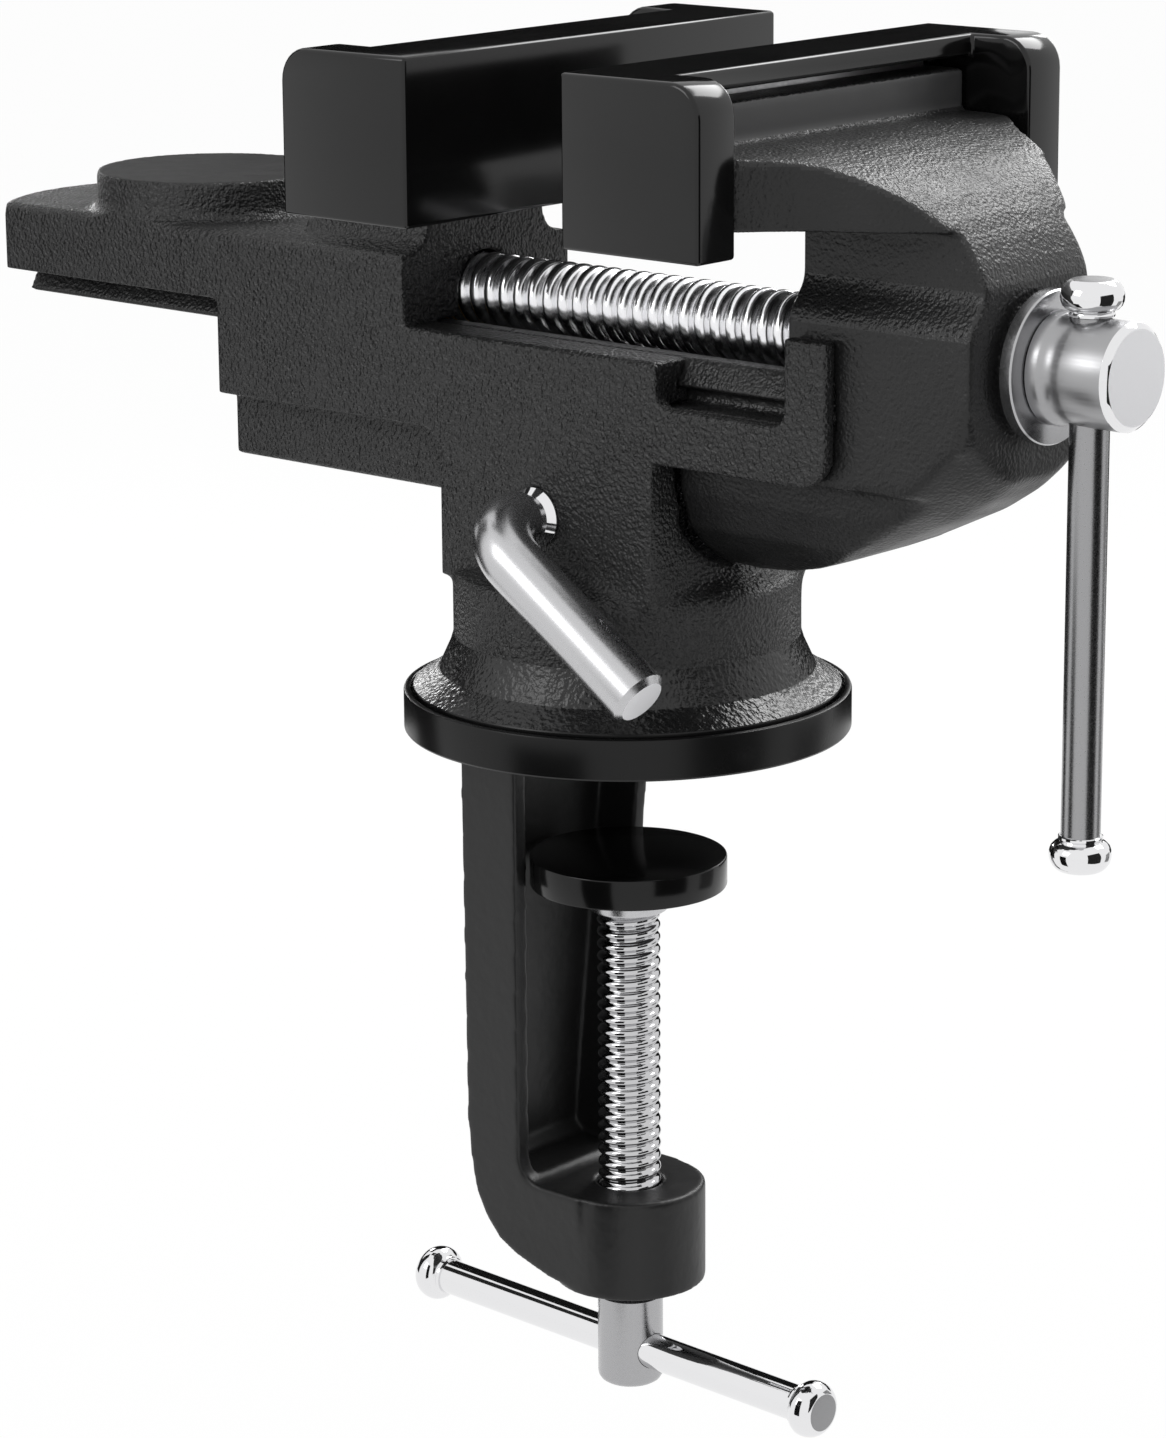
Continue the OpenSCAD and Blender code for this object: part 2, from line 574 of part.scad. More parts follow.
module body_casting() color(cast_black) difference() {
    union() {
        intersection() {
            side_prism(body_side, body_half_w);
            long_prism(body_top_section, -body_rear - rear_bulge - over, hook_front + over);
            plan_prism(body_plan, wall_low - over, plate_top + over);
        }
        block(-step_rear, -neck_rear, slab_half_w, slab_low, wall_low + over);
        block(-neck_rear, neck_front, body_half_w, column_top - over, wall_low + over);
        // Column and skirt
        turned([[0, base_low], [skirt_r, base_low], [skirt_r, skirt_edge_h], [skirt_mid_r, skirt_mid_h],
            [column_r, column_foot], [column_r, column_top], [0.86 * column_r, column_top + 1.6],
            [0.76 * column_r, column_top + 3.4], [0, column_top + 3.4]]);
        // Anvil
        intersection() {
            translate([-anvil_rear, 0, plate_top - over]) turned([[0, 0], [anvil_r + anvil_foot, 0],
                [anvil_r + anvil_foot, over], [anvil_r + 0.3 * anvil_foot, over + 0.3 * anvil_foot],
                [anvil_r, over + anvil_foot], [anvil_r, over + anvil_h], [0, over + anvil_h]]);
            block(-body_rear - rear_bulge, -step_rear + anvil_r, body_half_w - fit, 0, cover_top);
        }
        fixed_jaw();
    }
    // Guide for the slide, through the whole length, and the slot for its keel
    long_prism(dovetail(seat), -body_rear - rear_bulge - over, window_rear + over);
    block(cavity_rear, window_rear + over, keel_half_w + seat, shelf_top, dovetail_low);
    // Channel between the front walls, and the hollow neck
    long_prism([[-channel_half_w, wall_low - over], [channel_half_w, wall_low - over],
        [channel_half_w, hook_top + over], [-channel_half_w, hook_top + over]], window_rear, hook_front + over);
    long_prism(hull_room(slide_gap), cavity_rear, hook_front + over);
    // Passage for the screw
    translate([0, 0, screw_z]) x_rod(screw_r + slide_gap, -anvil_rear - anvil_r + over, -riser_front + over);
    block(-anvil_rear - anvil_r + over, -riser_front + over, screw_r + slide_gap, deck_top - over, screw_z);
    // Well for the nut, and the keeper plate's recess
    block(-nut_front - nut_l - nut_gap, -nut_front + nut_gap, nut_half_w + nut_gap, slab_low - over,
        nut_top + nut_gap);
    block(-nut_front - nut_l - keeper_edge - nut_gap, -nut_front + keeper_edge + nut_gap,
        keeper_half_w + nut_gap, slab_low - over, slab_low + keeper_t + fit);
    for (x = [-nut_front - nut_l - keeper_edge / 2, -nut_front + keeper_edge / 2])
        translate([x, 0, slab_low]) z_rod(keeper_screw_r + fit, 0, keeper_screw_l + seat);
    // Bolt hole, lock pin hole and lock lever's hole
    z_rod(pivot_r + fit, base_low - over, pivot_top + seat);
    translate([-lock_rear, lock_y, 0]) z_rod(lock_pin_r + fit, base_low - over, lock_z);
    translate([-lock_rear, 0, lock_z]) y_rod(lever_thread_r + fit, -body_half_w - over, lock_tip_y + seat);
    // Holes for the jaw plate's screws
    for (y = [-plate_screw_y, plate_screw_y]) translate([0, y, plate_screw_z])
        x_rod(plate_screw_r + fit, -fixed_face - cover_face_t - plate_screw_l - seat * 3, -fixed_face);
}

// Nut for the main screw, held in its well by a plate and two screws
module main_nut() color(bronze) difference() {
    block(-nut_front - nut_l, -nut_front, nut_half_w, nut_low, nut_top);
    translate([0, 0, screw_z]) x_rod(screw_r + fit, -nut_front - nut_l - over, -nut_front + over);
}
module keeper_screw_places() {
    for (x = [-nut_front - nut_l - keeper_edge / 2, -nut_front + keeper_edge / 2])
        translate([x, 0, slab_low]) children();
}
module nut_keeper_plate() color(plain_steel) difference() {
    block(-nut_front - nut_l - keeper_edge, -nut_front + keeper_edge, keeper_half_w, slab_low,
        slab_low + keeper_t);
    keeper_screw_places() sunk_hole(keeper_screw_r, 1.8 * keeper_screw_r, keeper_t + over);
}
module nut_keeper_screws() color(plain_steel)
    keeper_screw_places() sunk_screw(keeper_screw_r, 1.8 * keeper_screw_r, keeper_screw_l);

// Pin that the lock lever's point drives down on the flange
module lock_pin() color(plain_steel) translate([-lock_rear, lock_y, 0])
    turned([[0, base_low - seat + fit], [lock_pin_r - 0.3 * chamfer, base_low - seat + fit],
        [lock_pin_r, base_low - seat + fit + 0.3 * chamfer], [lock_pin_r, lock_pin_top - lock_pin_r],
        [0.15 * lock_pin_r, lock_pin_top], [0, lock_pin_top]]);
// Bent lever with a threaded, pointed end
module lock_lever() color(bright_steel) translate([-lock_rear, 0, lock_z]) {
    bend_y = -lever_reach + lever_bend_r;
    translate([0, lock_tip_y, 0]) rotate([90, 0, 0]) turned([[0, 0], [lever_tip_r, 0],
        [lever_thread_r, lever_cone_l], [lever_thread_r, body_half_w + lock_tip_y + seat],
        [lever_r, body_half_w + lock_tip_y + seat], [lever_r, body_half_w + lock_tip_y + seat + 0.3 * chamfer],
        [lever_neck_r, body_half_w + lock_tip_y + seat + 0.3 * chamfer + lever_r - lever_neck_r],
        [lever_r, lock_tip_y - bend_y], [lever_r - fit, lock_tip_y - bend_y],
        [lever_r - fit, lock_tip_y - bend_y + seat], [0, lock_tip_y - bend_y + seat]]);
    rotate([0, lever_drop, 0]) {
        translate([lever_bend_r, bend_y, 0]) rotate([0, 0, 180]) rotate_extrude(angle = 90)
            translate([lever_bend_r, 0]) circle(r = lever_r);
        translate([lever_bend_r, -lever_reach, 0]) rotate([0, 90, 0]) turned([[0, -seat],
            [lever_r - fit, -seat], [lever_r - fit, 0], [lever_r, 0], [lever_r, lever_l - lever_bend_r - chamfer],
            [lever_r - chamfer, lever_l - lever_bend_r], [0, lever_l - lever_bend_r]]);
    }
}

// Jaw furniture, drawn for a jaw whose gripping face is at X 0 and whose back is towards +X
module jaw_cover() difference() {
    intersection() {
        block(0, cover_d, cover_w / 2, cover_low, cover_top);
        side_prism(concat([[0, cover_low], [cover_d, cover_low]],
            arc([cover_d - cover_corner_r, cover_top - cover_corner_r], cover_corner_r, 0, 90),
            [[0, cover_top]]), cover_w / 2);
    }
    block(cover_face_t, cover_d + over, cover_w / 2 - cover_end_t, cover_low - over, cover_top - cover_lip_t);
    block(cover_lip_d, cover_d + over, cover_w / 2 - cover_end_t, cover_low - over, cover_top + over);
}
module jaw_screw_places() {
    for (y = [-plate_screw_y, plate_screw_y]) translate([cover_face_t + seat, y, plate_screw_z])
        rotate([0, 90, 0]) children();
}
module jaw_plate() difference() {
    block(cover_face_t + seat, cover_face_t + seat + plate_t - fit, jaw_half_w - slide_gap, plate_low,
        plate_low + plate_h);
    jaw_screw_places() sunk_hole(plate_screw_r, plate_screw_head_r, plate_t + over);
}
module jaw_plate_screws() { jaw_screw_places() sunk_screw(plate_screw_r, plate_screw_head_r, plate_screw_l); }
module on_fixed_jaw() { translate([-fixed_face, 0, 0]) mirror([1, 0, 0]) children(); }
module on_movable_jaw() { translate([move_face, 0, 0]) children(); }
module fixed_jaw_cover() color(gloss_black) on_fixed_jaw() jaw_cover();
module fixed_jaw_plate() color(plain_steel) on_fixed_jaw() jaw_plate();
module fixed_jaw_plate_screws() color(plain_steel) on_fixed_jaw() jaw_plate_screws();
module movable_jaw_cover() color(gloss_black) on_movable_jaw() jaw_cover();
module movable_jaw_plate() color(plain_steel) on_movable_jaw() jaw_plate();
module movable_jaw_plate_screws() color(plain_steel) on_movable_jaw() jaw_plate_screws();

// Movable jaw: beam, horn, web and hub, hull and slide in one casting
horn_l = hub_front - move_back;
horn_fall = horn_top - screw_z - 0.75 * web_half_w;
horn_line = shared(horn_line_shares, move_back, horn_l, horn_top, -horn_fall);
module movable_horn() {
    plan = shared(horn_plan_shares, move_back - over, horn_l + over, 0, jaw_half_w);
    intersection() {
        plan_prism(concat(plan, [for (i = [len(plan) - 1:-1:0]) [plan[i][0], -plan[i][1]]]), horn_low, horn_top);
        side_prism(concat([[move_back - over, horn_top]], horn_line, [[hub_front, screw_z],
            [move_back - over, screw_z]]), jaw_half_w + over);
    }
    block(move_back - jaw_beam_t, move_back, jaw_half_w, horn_low, jaw_top);
}
// Outline of the web and its neck, in Y and Z
web_side = concat([[web_half_w, deck_top + slide_gap]],
    [for (s = web_neck_shares) [web_half_w - s[1] * web_neck_in,
        web_neck_low + s[0] * (web_neck_high - web_neck_low)]],
    [[web_half_w - web_neck_in, horn_low + over]]);
module movable_web() {
    intersection() {
        union() {
            // Web above the deck, up to the horn and forward to the hub
            long_prism(concat(web_side, mirrored(web_side)), boss_rear, hub_front);
            block(wide_start, hub_front - over, web_half_w, shelf_top - over, deck_top + over);
            block(hook_rear, wide_start + over, dovetail_top_half_w - seat, shelf_top - over, deck_top + over);
        }
        side_prism(concat([[move_back - over, shelf_top - 2 * over], [move_back - over, horn_top]], horn_line,
            [[hub_front, shelf_top - 2 * over]]), web_half_w + over);
    }
    translate([0, 0, screw_z]) x_rod(hub_boss_r, hub_front - over, hub_front + hub_boss_t);
}
module movable_hull() {
    rise = screw_z - web_half_w - hull_low;
    l = hub_front - neck_front - seat;
    intersection() {
        side_prism(concat(shared(keel_line_shares, neck_front + seat, l, hull_low, rise),
            [[hub_front, screw_z], [wide_start, screw_z], [wide_start, shelf_top], [neck_front + seat, shelf_top]]),
            web_half_w);
        translate([0, 0, screw_z]) rotate([0, 90, 0]) turned(concat([[0, neck_front + seat]],
            [for (s = keel_line_shares)
                [web_half_w + nose_gap + (1 - s[1]) * rise, neck_front + seat + s[0] * l]],
            [[0, hub_front]]));
        union() {
            long_prism(hull_room(0), neck_front, hub_front + over);
            long_prism([[-web_half_w, shelf_top - over], [web_half_w, shelf_top - over], [web_half_w, screw_z],
                [-web_half_w, screw_z]], wide_start, hub_front + over);
        }
    }
}
module slide() {
    difference() {
        union() {
            long_prism(dovetail(0), -slide_rear, wide_start + over);
            block(neck_front + seat, wide_start + over, keel_half_w, shelf_top - over, dovetail_low + over);
        }
        block(-slide_rear + bridge_l, hook_rear - over, slot_half_w, shelf_top, deck_top + over);
    }
}
module movable_jaw() color(cast_black) difference() {
    union() {
        movable_horn();
        movable_web();
        movable_hull();
        slide();
    }
    translate([0, 0, screw_z]) x_rod(screw_r + fit, boss_rear - over, hub_front + hub_boss_t + over);
    translate([pin_x, 0, pin_z]) y_rod(pin_r + fit, -pin_end, web_half_w + over);
    for (y = [-plate_screw_y, plate_screw_y]) translate([0, y, plate_screw_z])
        x_rod(plate_screw_r + fit, move_face, move_face + cover_face_t + plate_screw_l + seat * 3);
}
module screw_retaining_pin() color(plain_steel) translate([pin_x, 0, pin_z])
    y_rod(pin_r, -pin_end + seat, web_half_w - 2 * over);

// Main screw with its cross-drilled head
module main_screw() color(bright_steel) translate([0, 0, screw_z]) difference() {
    rotate([0, 90, 0]) turned(concat([[0, -screw_rear], [screw_r - main_depth, -screw_rear]],
        thread(screw_r, main_depth, screw_pitch, -screw_rear + chamfer, boss_rear),
        [[screw_r - main_depth, boss_rear], [screw_r, boss_rear + main_depth], [screw_r, pin_x - pin_r - seat],
        [screw_r - pin_groove, pin_x - pin_r - seat], [screw_r - pin_groove, pin_x + pin_r + seat],
        [screw_r, pin_x + pin_r + seat], [screw_r, head_rear], [root_r, head_rear],
        [root_r, head_rear + 0.8 * root_l], [groove_r, head_rear + 1.3 * root_l], [head_r, head_rear + 2 * root_l],
        [head_r, head_front - chamfer], [head_r - chamfer, head_front], [0, head_front]]));
    translate([handle_x, 0, 0]) z_rod(bar_r + fit, -2 * head_r, 2 * head_r);
}
module thrust_washer() color(bright_steel) translate([0, 0, screw_z]) difference() {
    rotate([0, 90, 0]) turned([[0, washer_rear], [washer_r - 0.3 * chamfer, washer_rear],
        [washer_r, washer_rear + 0.3 * chamfer], [washer_r, washer_rear + washer_t - 0.3 * chamfer],
        [washer_r - 0.3 * chamfer, washer_rear + washer_t], [0, washer_rear + washer_t]]);
    x_rod(screw_r + fit, washer_rear - over, washer_rear + washer_t + over);
}

clamp_frame();
swivel_bolt();
clamp_screw();
clamp_pad();
pad_retaining_ring();
tommy_bar();
tommy_bar_knobs();
body_casting();
main_nut();
nut_keeper_plate();
nut_keeper_screws();
lock_pin();
lock_lever();
fixed_jaw_plate();
fixed_jaw_plate_screws();
fixed_jaw_cover();
movable_jaw();
movable_jaw_plate();
movable_jaw_plate_screws();
movable_jaw_cover();
screw_retaining_pin();
main_screw();
thrust_washer();
handle_bar();
handle_knobs();
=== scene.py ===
"""The looks of a clamp-on swivel bench vise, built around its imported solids.

Every length is in the frame of the solids: the origin is the swivel axis at the underside of the round
flange, X runs along the main screw towards its handle, and Z is up. Sizes of the vise are written in
millimetres, and MM turns them into metres. The studio round it is written in metres.
"""

import logging
import math
from dataclasses import dataclass, field
from enum import Enum
from typing import Callable, Sequence

import bpy
from mathutils import Matrix, Vector


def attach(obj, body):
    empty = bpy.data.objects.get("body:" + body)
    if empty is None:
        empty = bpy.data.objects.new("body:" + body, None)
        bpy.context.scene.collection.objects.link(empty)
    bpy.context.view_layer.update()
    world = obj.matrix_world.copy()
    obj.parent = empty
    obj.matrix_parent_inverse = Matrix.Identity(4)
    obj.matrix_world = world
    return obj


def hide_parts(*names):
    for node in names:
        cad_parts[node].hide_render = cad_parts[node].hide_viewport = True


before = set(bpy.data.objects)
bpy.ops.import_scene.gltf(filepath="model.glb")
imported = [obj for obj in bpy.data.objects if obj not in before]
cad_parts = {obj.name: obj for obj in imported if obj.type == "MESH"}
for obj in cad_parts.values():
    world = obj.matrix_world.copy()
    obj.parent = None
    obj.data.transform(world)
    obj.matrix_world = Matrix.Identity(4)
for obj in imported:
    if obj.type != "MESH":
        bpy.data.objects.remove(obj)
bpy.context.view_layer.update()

LOG = logging.getLogger("vise")
MM = 0.001
Point2 = tuple[float, float]
Point3 = tuple[float, float, float]
FaceTest = Callable[[Vector, Vector], bool]
PlaceTest = Callable[[Vector], bool]

# Sizes that several pieces share, in millimetres and degrees
ORIGIN: Point3 = (0.0, 0.0, 0.0)
SCREW_Z = 64.7
BAR_R = 2.85
BAR_HOLE_R = 2.91
HANDLE_X = 85.2
TOMMY_Z = -102.5
TOMMY_TURN = -2.8

# Distances in metres: under these, corners of a copied solid or of a seam are joined, and a point touches
COPY_WELD = 1e-6
SEAM_WELD = 2e-6
TOUCH = 1e-5

# Range of a noise mask that a finish spreads its values over
MASK_LOW, MASK_HIGH = 0.3, 0.7


class Axis(Enum):
    """A direction that a turned piece is built along: the turns about X and Y that bring Z to it."""

    X = (0.0, math.pi / 2)
    Y = (-math.pi / 2, 0.0)
    Z = (0.0, 0.0)


class Body(Enum):
    """The moving bodies of the vise."""

    FRAME = "frame"
    PAD = "pad"
    CLAMP_SCREW = "clamp_screw"
    TOMMY_BAR = "tommy_bar"
    BODY = "body"
    LOCK_LEVER = "lock_lever"
    JAW = "jaw"
    SCREW = "screw"
    HANDLE = "handle"


# Shader effects that several finishes share


class Effects:
    """Shader node groups that several finishes share."""

    def __init__(self) -> None:
        """Builds each group once."""
        self.grain = self._grain()
        self.lines = self._lines()

    @staticmethod
    def _tree(name: str, inputs: Sequence[tuple[str, float]], outputs: Sequence[str]) -> bpy.types.NodeTree:
        """Makes an empty group with a vector and float inputs, and float outputs.

        Args:
            name: The group's name.
            inputs: Name and default of each float input.
            outputs: Names of the float outputs.

        Returns:
            The new group.
        """
        tree = bpy.data.node_groups.new(name, "ShaderNodeTree")
        tree.interface.new_socket("Vector", in_out="INPUT", socket_type="NodeSocketVector")
        for label, value in inputs:
            socket = tree.interface.new_socket(label, in_out="INPUT", socket_type="NodeSocketFloat")
            socket.default_value = value
        for label in outputs:
            tree.interface.new_socket(label, in_out="OUTPUT", socket_type="NodeSocketFloat")
        return tree

    def _grain(self) -> bpy.types.NodeTree:
        """Makes the cast skin: orange peel with fine pits, over a slow unevenness."""
        tree = self._tree("cast_grain", [("Scale", 900.0), ("Pits", 0.4), ("Slow Scale", 90.0)],
                          ["Height", "Patches"])
        nodes, links = tree.nodes, tree.links
        source, sink = nodes.new("NodeGroupInput"), nodes.new("NodeGroupOutput")
        peel = nodes.new("ShaderNodeTexNoise")
        peel.inputs["Detail"].default_value = 1.5
        peel.inputs["Roughness"].default_value = 0.5
        slow = nodes.new("ShaderNodeTexNoise")
        slow.inputs["Detail"].default_value = 3.0
        pits = nodes.new("ShaderNodeTexVoronoi")
        pits.feature = "SMOOTH_F1"
        blend = nodes.new("ShaderNodeMath")
        blend.operation = "MULTIPLY_ADD"
        for texture in (peel, pits):
            links.new(source.outputs["Vector"], texture.inputs["Vector"])
            links.new(source.outputs["Scale"], texture.inputs["Scale"])
        links.new(source.outputs["Vector"], slow.inputs["Vector"])
        links.new(source.outputs["Slow Scale"], slow.inputs["Scale"])
        links.new(pits.outputs["Distance"], blend.inputs[0])
        links.new(source.outputs["Pits"], blend.inputs[1])
        links.new(peel.outputs["Fac"], blend.inputs[2])
        links.new(blend.outputs[0], sink.inputs["Height"])
        links.new(slow.outputs["Fac"], sink.inputs["Patches"])
        return tree

    def _lines(self) -> bpy.types.NodeTree:
        """Makes the fine lines that turning and grinding leave."""
        tree = self._tree("tool_lines", [("Scale", 2500.0)], ["Height"])
        nodes, links = tree.nodes, tree.links
        source, sink = nodes.new("NodeGroupInput"), nodes.new("NodeGroupOutput")
        noise = nodes.new("ShaderNodeTexNoise")
        noise.inputs["Detail"].default_value = 2.0
        links.new(source.outputs["Vector"], noise.inputs["Vector"])
        links.new(source.outputs["Scale"], noise.inputs["Scale"])
        links.new(noise.outputs["Fac"], sink.inputs["Height"])
        return tree


def new_material(name: str) -> tuple[bpy.types.Material, bpy.types.Node, bpy.types.Node]:
    """Makes an empty material with its shader and its coordinates.

    Args:
        name: The material's name.

    Returns:
        The material, its Principled shader and its Texture Coordinate node.
    """
    material = bpy.data.materials.new(name)
    material.use_nodes = True
    nodes = material.node_tree.nodes
    shader = next(n for n in nodes if n.type == "BSDF_PRINCIPLED")
    return material, shader, nodes.new("ShaderNodeTexCoord")


def spread_value(material: bpy.types.Material, source: bpy.types.NodeSocket, target: bpy.types.NodeSocket,
                 low: float, high: float) -> None:
    """Drives a socket by a mask, between two values.

    Args:
        material: The material to add the node to.
        source: The mask.
        target: The socket to drive.
        low: The value at MASK_LOW and below.
        high: The value at MASK_HIGH and above.
    """
    ramp = material.node_tree.nodes.new("ShaderNodeMapRange")
    for label, value in (("From Min", MASK_LOW), ("From Max", MASK_HIGH), ("To Min", low), ("To Max", high)):
        ramp.inputs[label].default_value = value
    material.node_tree.links.new(source, ramp.inputs["Value"])
    material.node_tree.links.new(ramp.outputs["Result"], target)


def add_bump(material: bpy.types.Material, shader: bpy.types.Node, height: bpy.types.NodeSocket,
             strength: float, depth: float) -> None:
    """Adds a bump to a shader.

    Args:
        material: The material to add the node to.
        shader: The shader that gets the normal.
        height: The height's socket.
        strength: The bump's strength.
        depth: The bump's depth in millimetres.
    """
    bump = material.node_tree.nodes.new("ShaderNodeBump")
    bump.inputs["Strength"].default_value = strength
    bump.inputs["Distance"].default_value = depth * MM
    material.node_tree.links.new(height, bump.inputs["Height"])
    material.node_tree.links.new(bump.outputs["Normal"], shader.inputs["Normal"])


def grey(value: float) -> Point3:
    """Makes a grey with a trace of blue."""
    return (value, value, value * 1.02)


@dataclass(frozen=True)
class CoatedFinish:
    """Black coating or paint, over a cast or a smooth surface.

    Attributes:
        light_patch: How much lighter the lightest patches are than the colour.
        spread: How far the roughness varies either way.
        grain_scale: Grains to the metre.
        patch_grains: Grains across one patch.
        pits: Share of the pits in the grain.
        strength: Strength of the grain's bump.
        depth: Depth of the grain's bump, in millimetres.
    """

    name: str
    slot: str
    color: Point3 = grey(0.014)
    light_patch: float = 1.5
    roughness: float = 0.36
    spread: float = 0.06
    grain_scale: float = 1700.0
    patch_grains: float = 10.0
    pits: float = 0.4
    strength: float = 1.0
    depth: float = 0.5
    specular: float = 0.42

    def build(self, effects: Effects) -> bpy.types.Material:
        """Makes the material with the effects' cast grain."""
        material, shader, coords = new_material(self.name)
        nodes, links = material.node_tree.nodes, material.node_tree.links
        group = nodes.new("ShaderNodeGroup")
        group.node_tree = effects.grain
        group.inputs["Scale"].default_value = self.grain_scale
        group.inputs["Pits"].default_value = self.pits
        group.inputs["Slow Scale"].default_value = self.grain_scale / self.patch_grains
        links.new(coords.outputs["Object"], group.inputs["Vector"])
        mix = nodes.new("ShaderNodeMix")
        mix.data_type = "RGBA"
        mix.inputs["A"].default_value = (*self.color, 1)
        mix.inputs["B"].default_value = (*[c * self.light_patch for c in self.color], 1)
        spread_value(material, group.outputs["Patches"], mix.inputs["Factor"], 0.0, 1.0)
        links.new(mix.outputs["Result"], shader.inputs["Base Color"])
        spread_value(material, group.outputs["Patches"], shader.inputs["Roughness"],
                     self.roughness - self.spread, self.roughness + self.spread)
        add_bump(material, shader, group.outputs["Height"], self.strength, self.depth)
        shader.inputs["Specular IOR Level"].default_value = self.specular
        return material


@dataclass(frozen=True)
class MetalFinish:
    """Bright metal, from chrome to plain steel.

    Attributes:
        spread: How far the roughness varies either way.
        stretch: Scale of the tool lines along X, Y and Z.
        strength: Strength of the lines' bump.
        depth: Depth of the lines' bump, in millimetres.
        scale: Lines to the metre.
    """

    name: str
    slot: str
    color: Point3 = (0.80, 0.80, 0.81)
    roughness: float = 0.05
    spread: float = 0.02
    stretch: Point3 = (1.0, 1.0, 1.0)
    strength: float = 0.05
    depth: float = 0.03
    scale: float = 2500.0

    def build(self, effects: Effects) -> bpy.types.Material:
        """Makes the material with the effects' tool lines."""
        material, shader, coords = new_material(self.name)
        nodes, links = material.node_tree.nodes, material.node_tree.links
        mapping = nodes.new("ShaderNodeMapping")
        mapping.inputs["Scale"].default_value = self.stretch
        links.new(coords.outputs["Object"], mapping.inputs["Vector"])
        group = nodes.new("ShaderNodeGroup")
        group.node_tree = effects.lines
        group.inputs["Scale"].default_value = self.scale
        links.new(mapping.outputs["Vector"], group.inputs["Vector"])
        spread_value(material, group.outputs["Height"], shader.inputs["Roughness"],
                     self.roughness - self.spread, self.roughness + self.spread)
        add_bump(material, shader, group.outputs["Height"], self.strength, self.depth)
        shader.inputs["Base Color"].default_value = (*self.color, 1)
        shader.inputs["Metallic"].default_value = 1.0
        return material


class Finish(Enum):
    """Every finish on the vise."""

    BODY = CoatedFinish("body_casting_coat", "cast_body", color=grey(0.013))
    JAW = CoatedFinish("jaw_casting_coat", "cast_jaw", roughness=0.33, grain_scale=1800.0, strength=0.8,
                       depth=0.35, specular=0.45)
    # Painted shade: a darker, less glossy copy of the jaw coat for the jaw's faces that don't face up; it
    # also has a weaker grain
    JAW_SIDE_PAINTED_SHADE = CoatedFinish("jaw_side_painted_shade_coat", "cast_jaw", color=grey(0.010), roughness=0.4,
                            strength=0.6, depth=0.3, specular=0.36)
    MILLED = CoatedFinish("milled_black", "cast_body", color=grey(0.012), roughness=0.5, light_patch=1.15,
                          grain_scale=2500.0, pits=0.0, strength=0.08, depth=0.05, specular=0.25)
    JAW_BACK = CoatedFinish("jaw_back_milled", "cast_jaw", color=grey(0.05), roughness=0.4, light_patch=1.15,
                            grain_scale=2500.0, pits=0.0, strength=0.08, depth=0.05)
    SKIRT = CoatedFinish("skirt_coat", "cast_body", color=grey(0.009), roughness=0.27, grain_scale=1300.0,
                         strength=0.7, depth=0.3, specular=0.45)
    ARM = CoatedFinish("clamp_arm_paint", "frame_paint", color=grey(0.009), roughness=0.4,
                       grain_scale=500.0, pits=0.15, strength=0.4, depth=0.2, specular=0.36)
    RIM = CoatedFinish("flange_gloss", "frame_paint", color=grey(0.004), roughness=0.26, spread=0.03,
                       grain_scale=500.0, pits=0.0, strength=0.05, depth=0.05, specular=0.25)
    COVER = CoatedFinish("cover_gloss", "jaw_cover", color=grey(0.003), roughness=0.13, spread=0.02,
                         grain_scale=400.0, pits=0.0, strength=0.04, depth=0.05, specular=0.4)
    PAD = CoatedFinish("pad_gloss", "frame_paint", color=grey(0.003), roughness=0.16, spread=0.02,
                       grain_scale=400.0, pits=0.0, strength=0.03, depth=0.05, specular=0.3)
    CHROME = MetalFinish("chrome_plate", "chrome_steel")
    KNOB_END = MetalFinish("knob_end_plate", "chrome_steel", color=grey(0.3), roughness=0.3)
    BAR = MetalFinish("handle_satin", "chrome_steel", color=grey(0.35), roughness=0.26, strength=0.01)
    LEVER = MetalFinish("lever_satin", "chrome_steel", color=grey(0.56), roughness=0.27, spread=0.03,
                        strength=0.06)
    CLAMP_HEAD = MetalFinish("clamp_head_satin", "chrome_steel", color=grey(0.42), roughness=0.25,
                             spread=0.04)
    THREAD = MetalFinish("thread_steel", "screw_steel", color=grey(0.88), roughness=0.2, spread=0.03)
    CLAMP_THREAD = MetalFinish("clamp_thread_steel", "chrome_steel", color=grey(0.56), roughness=0.07)
    HEAD = MetalFinish("head_satin", "screw_steel", color=grey(0.38), roughness=0.34, spread=0.05,
                       stretch=(0.02, 1.0, 1.0), strength=0.1)
    FACED = MetalFinish("faced_end", "screw_steel", color=grey(0.9), roughness=0.5, spread=0.05)
    WASHER = MetalFinish("washer_satin", "chrome_steel", color=grey(0.45), roughness=0.22, spread=0.04)
    STEEL = MetalFinish("plain_steel_skin", "plain_steel", color=grey(0.45), roughness=0.38, spread=0.1)
    BRASS = MetalFinish("nut_brass_skin", "nut_brass", color=(0.70, 0.52, 0.26), roughness=0.32,
                        spread=0.08)


# Modelling


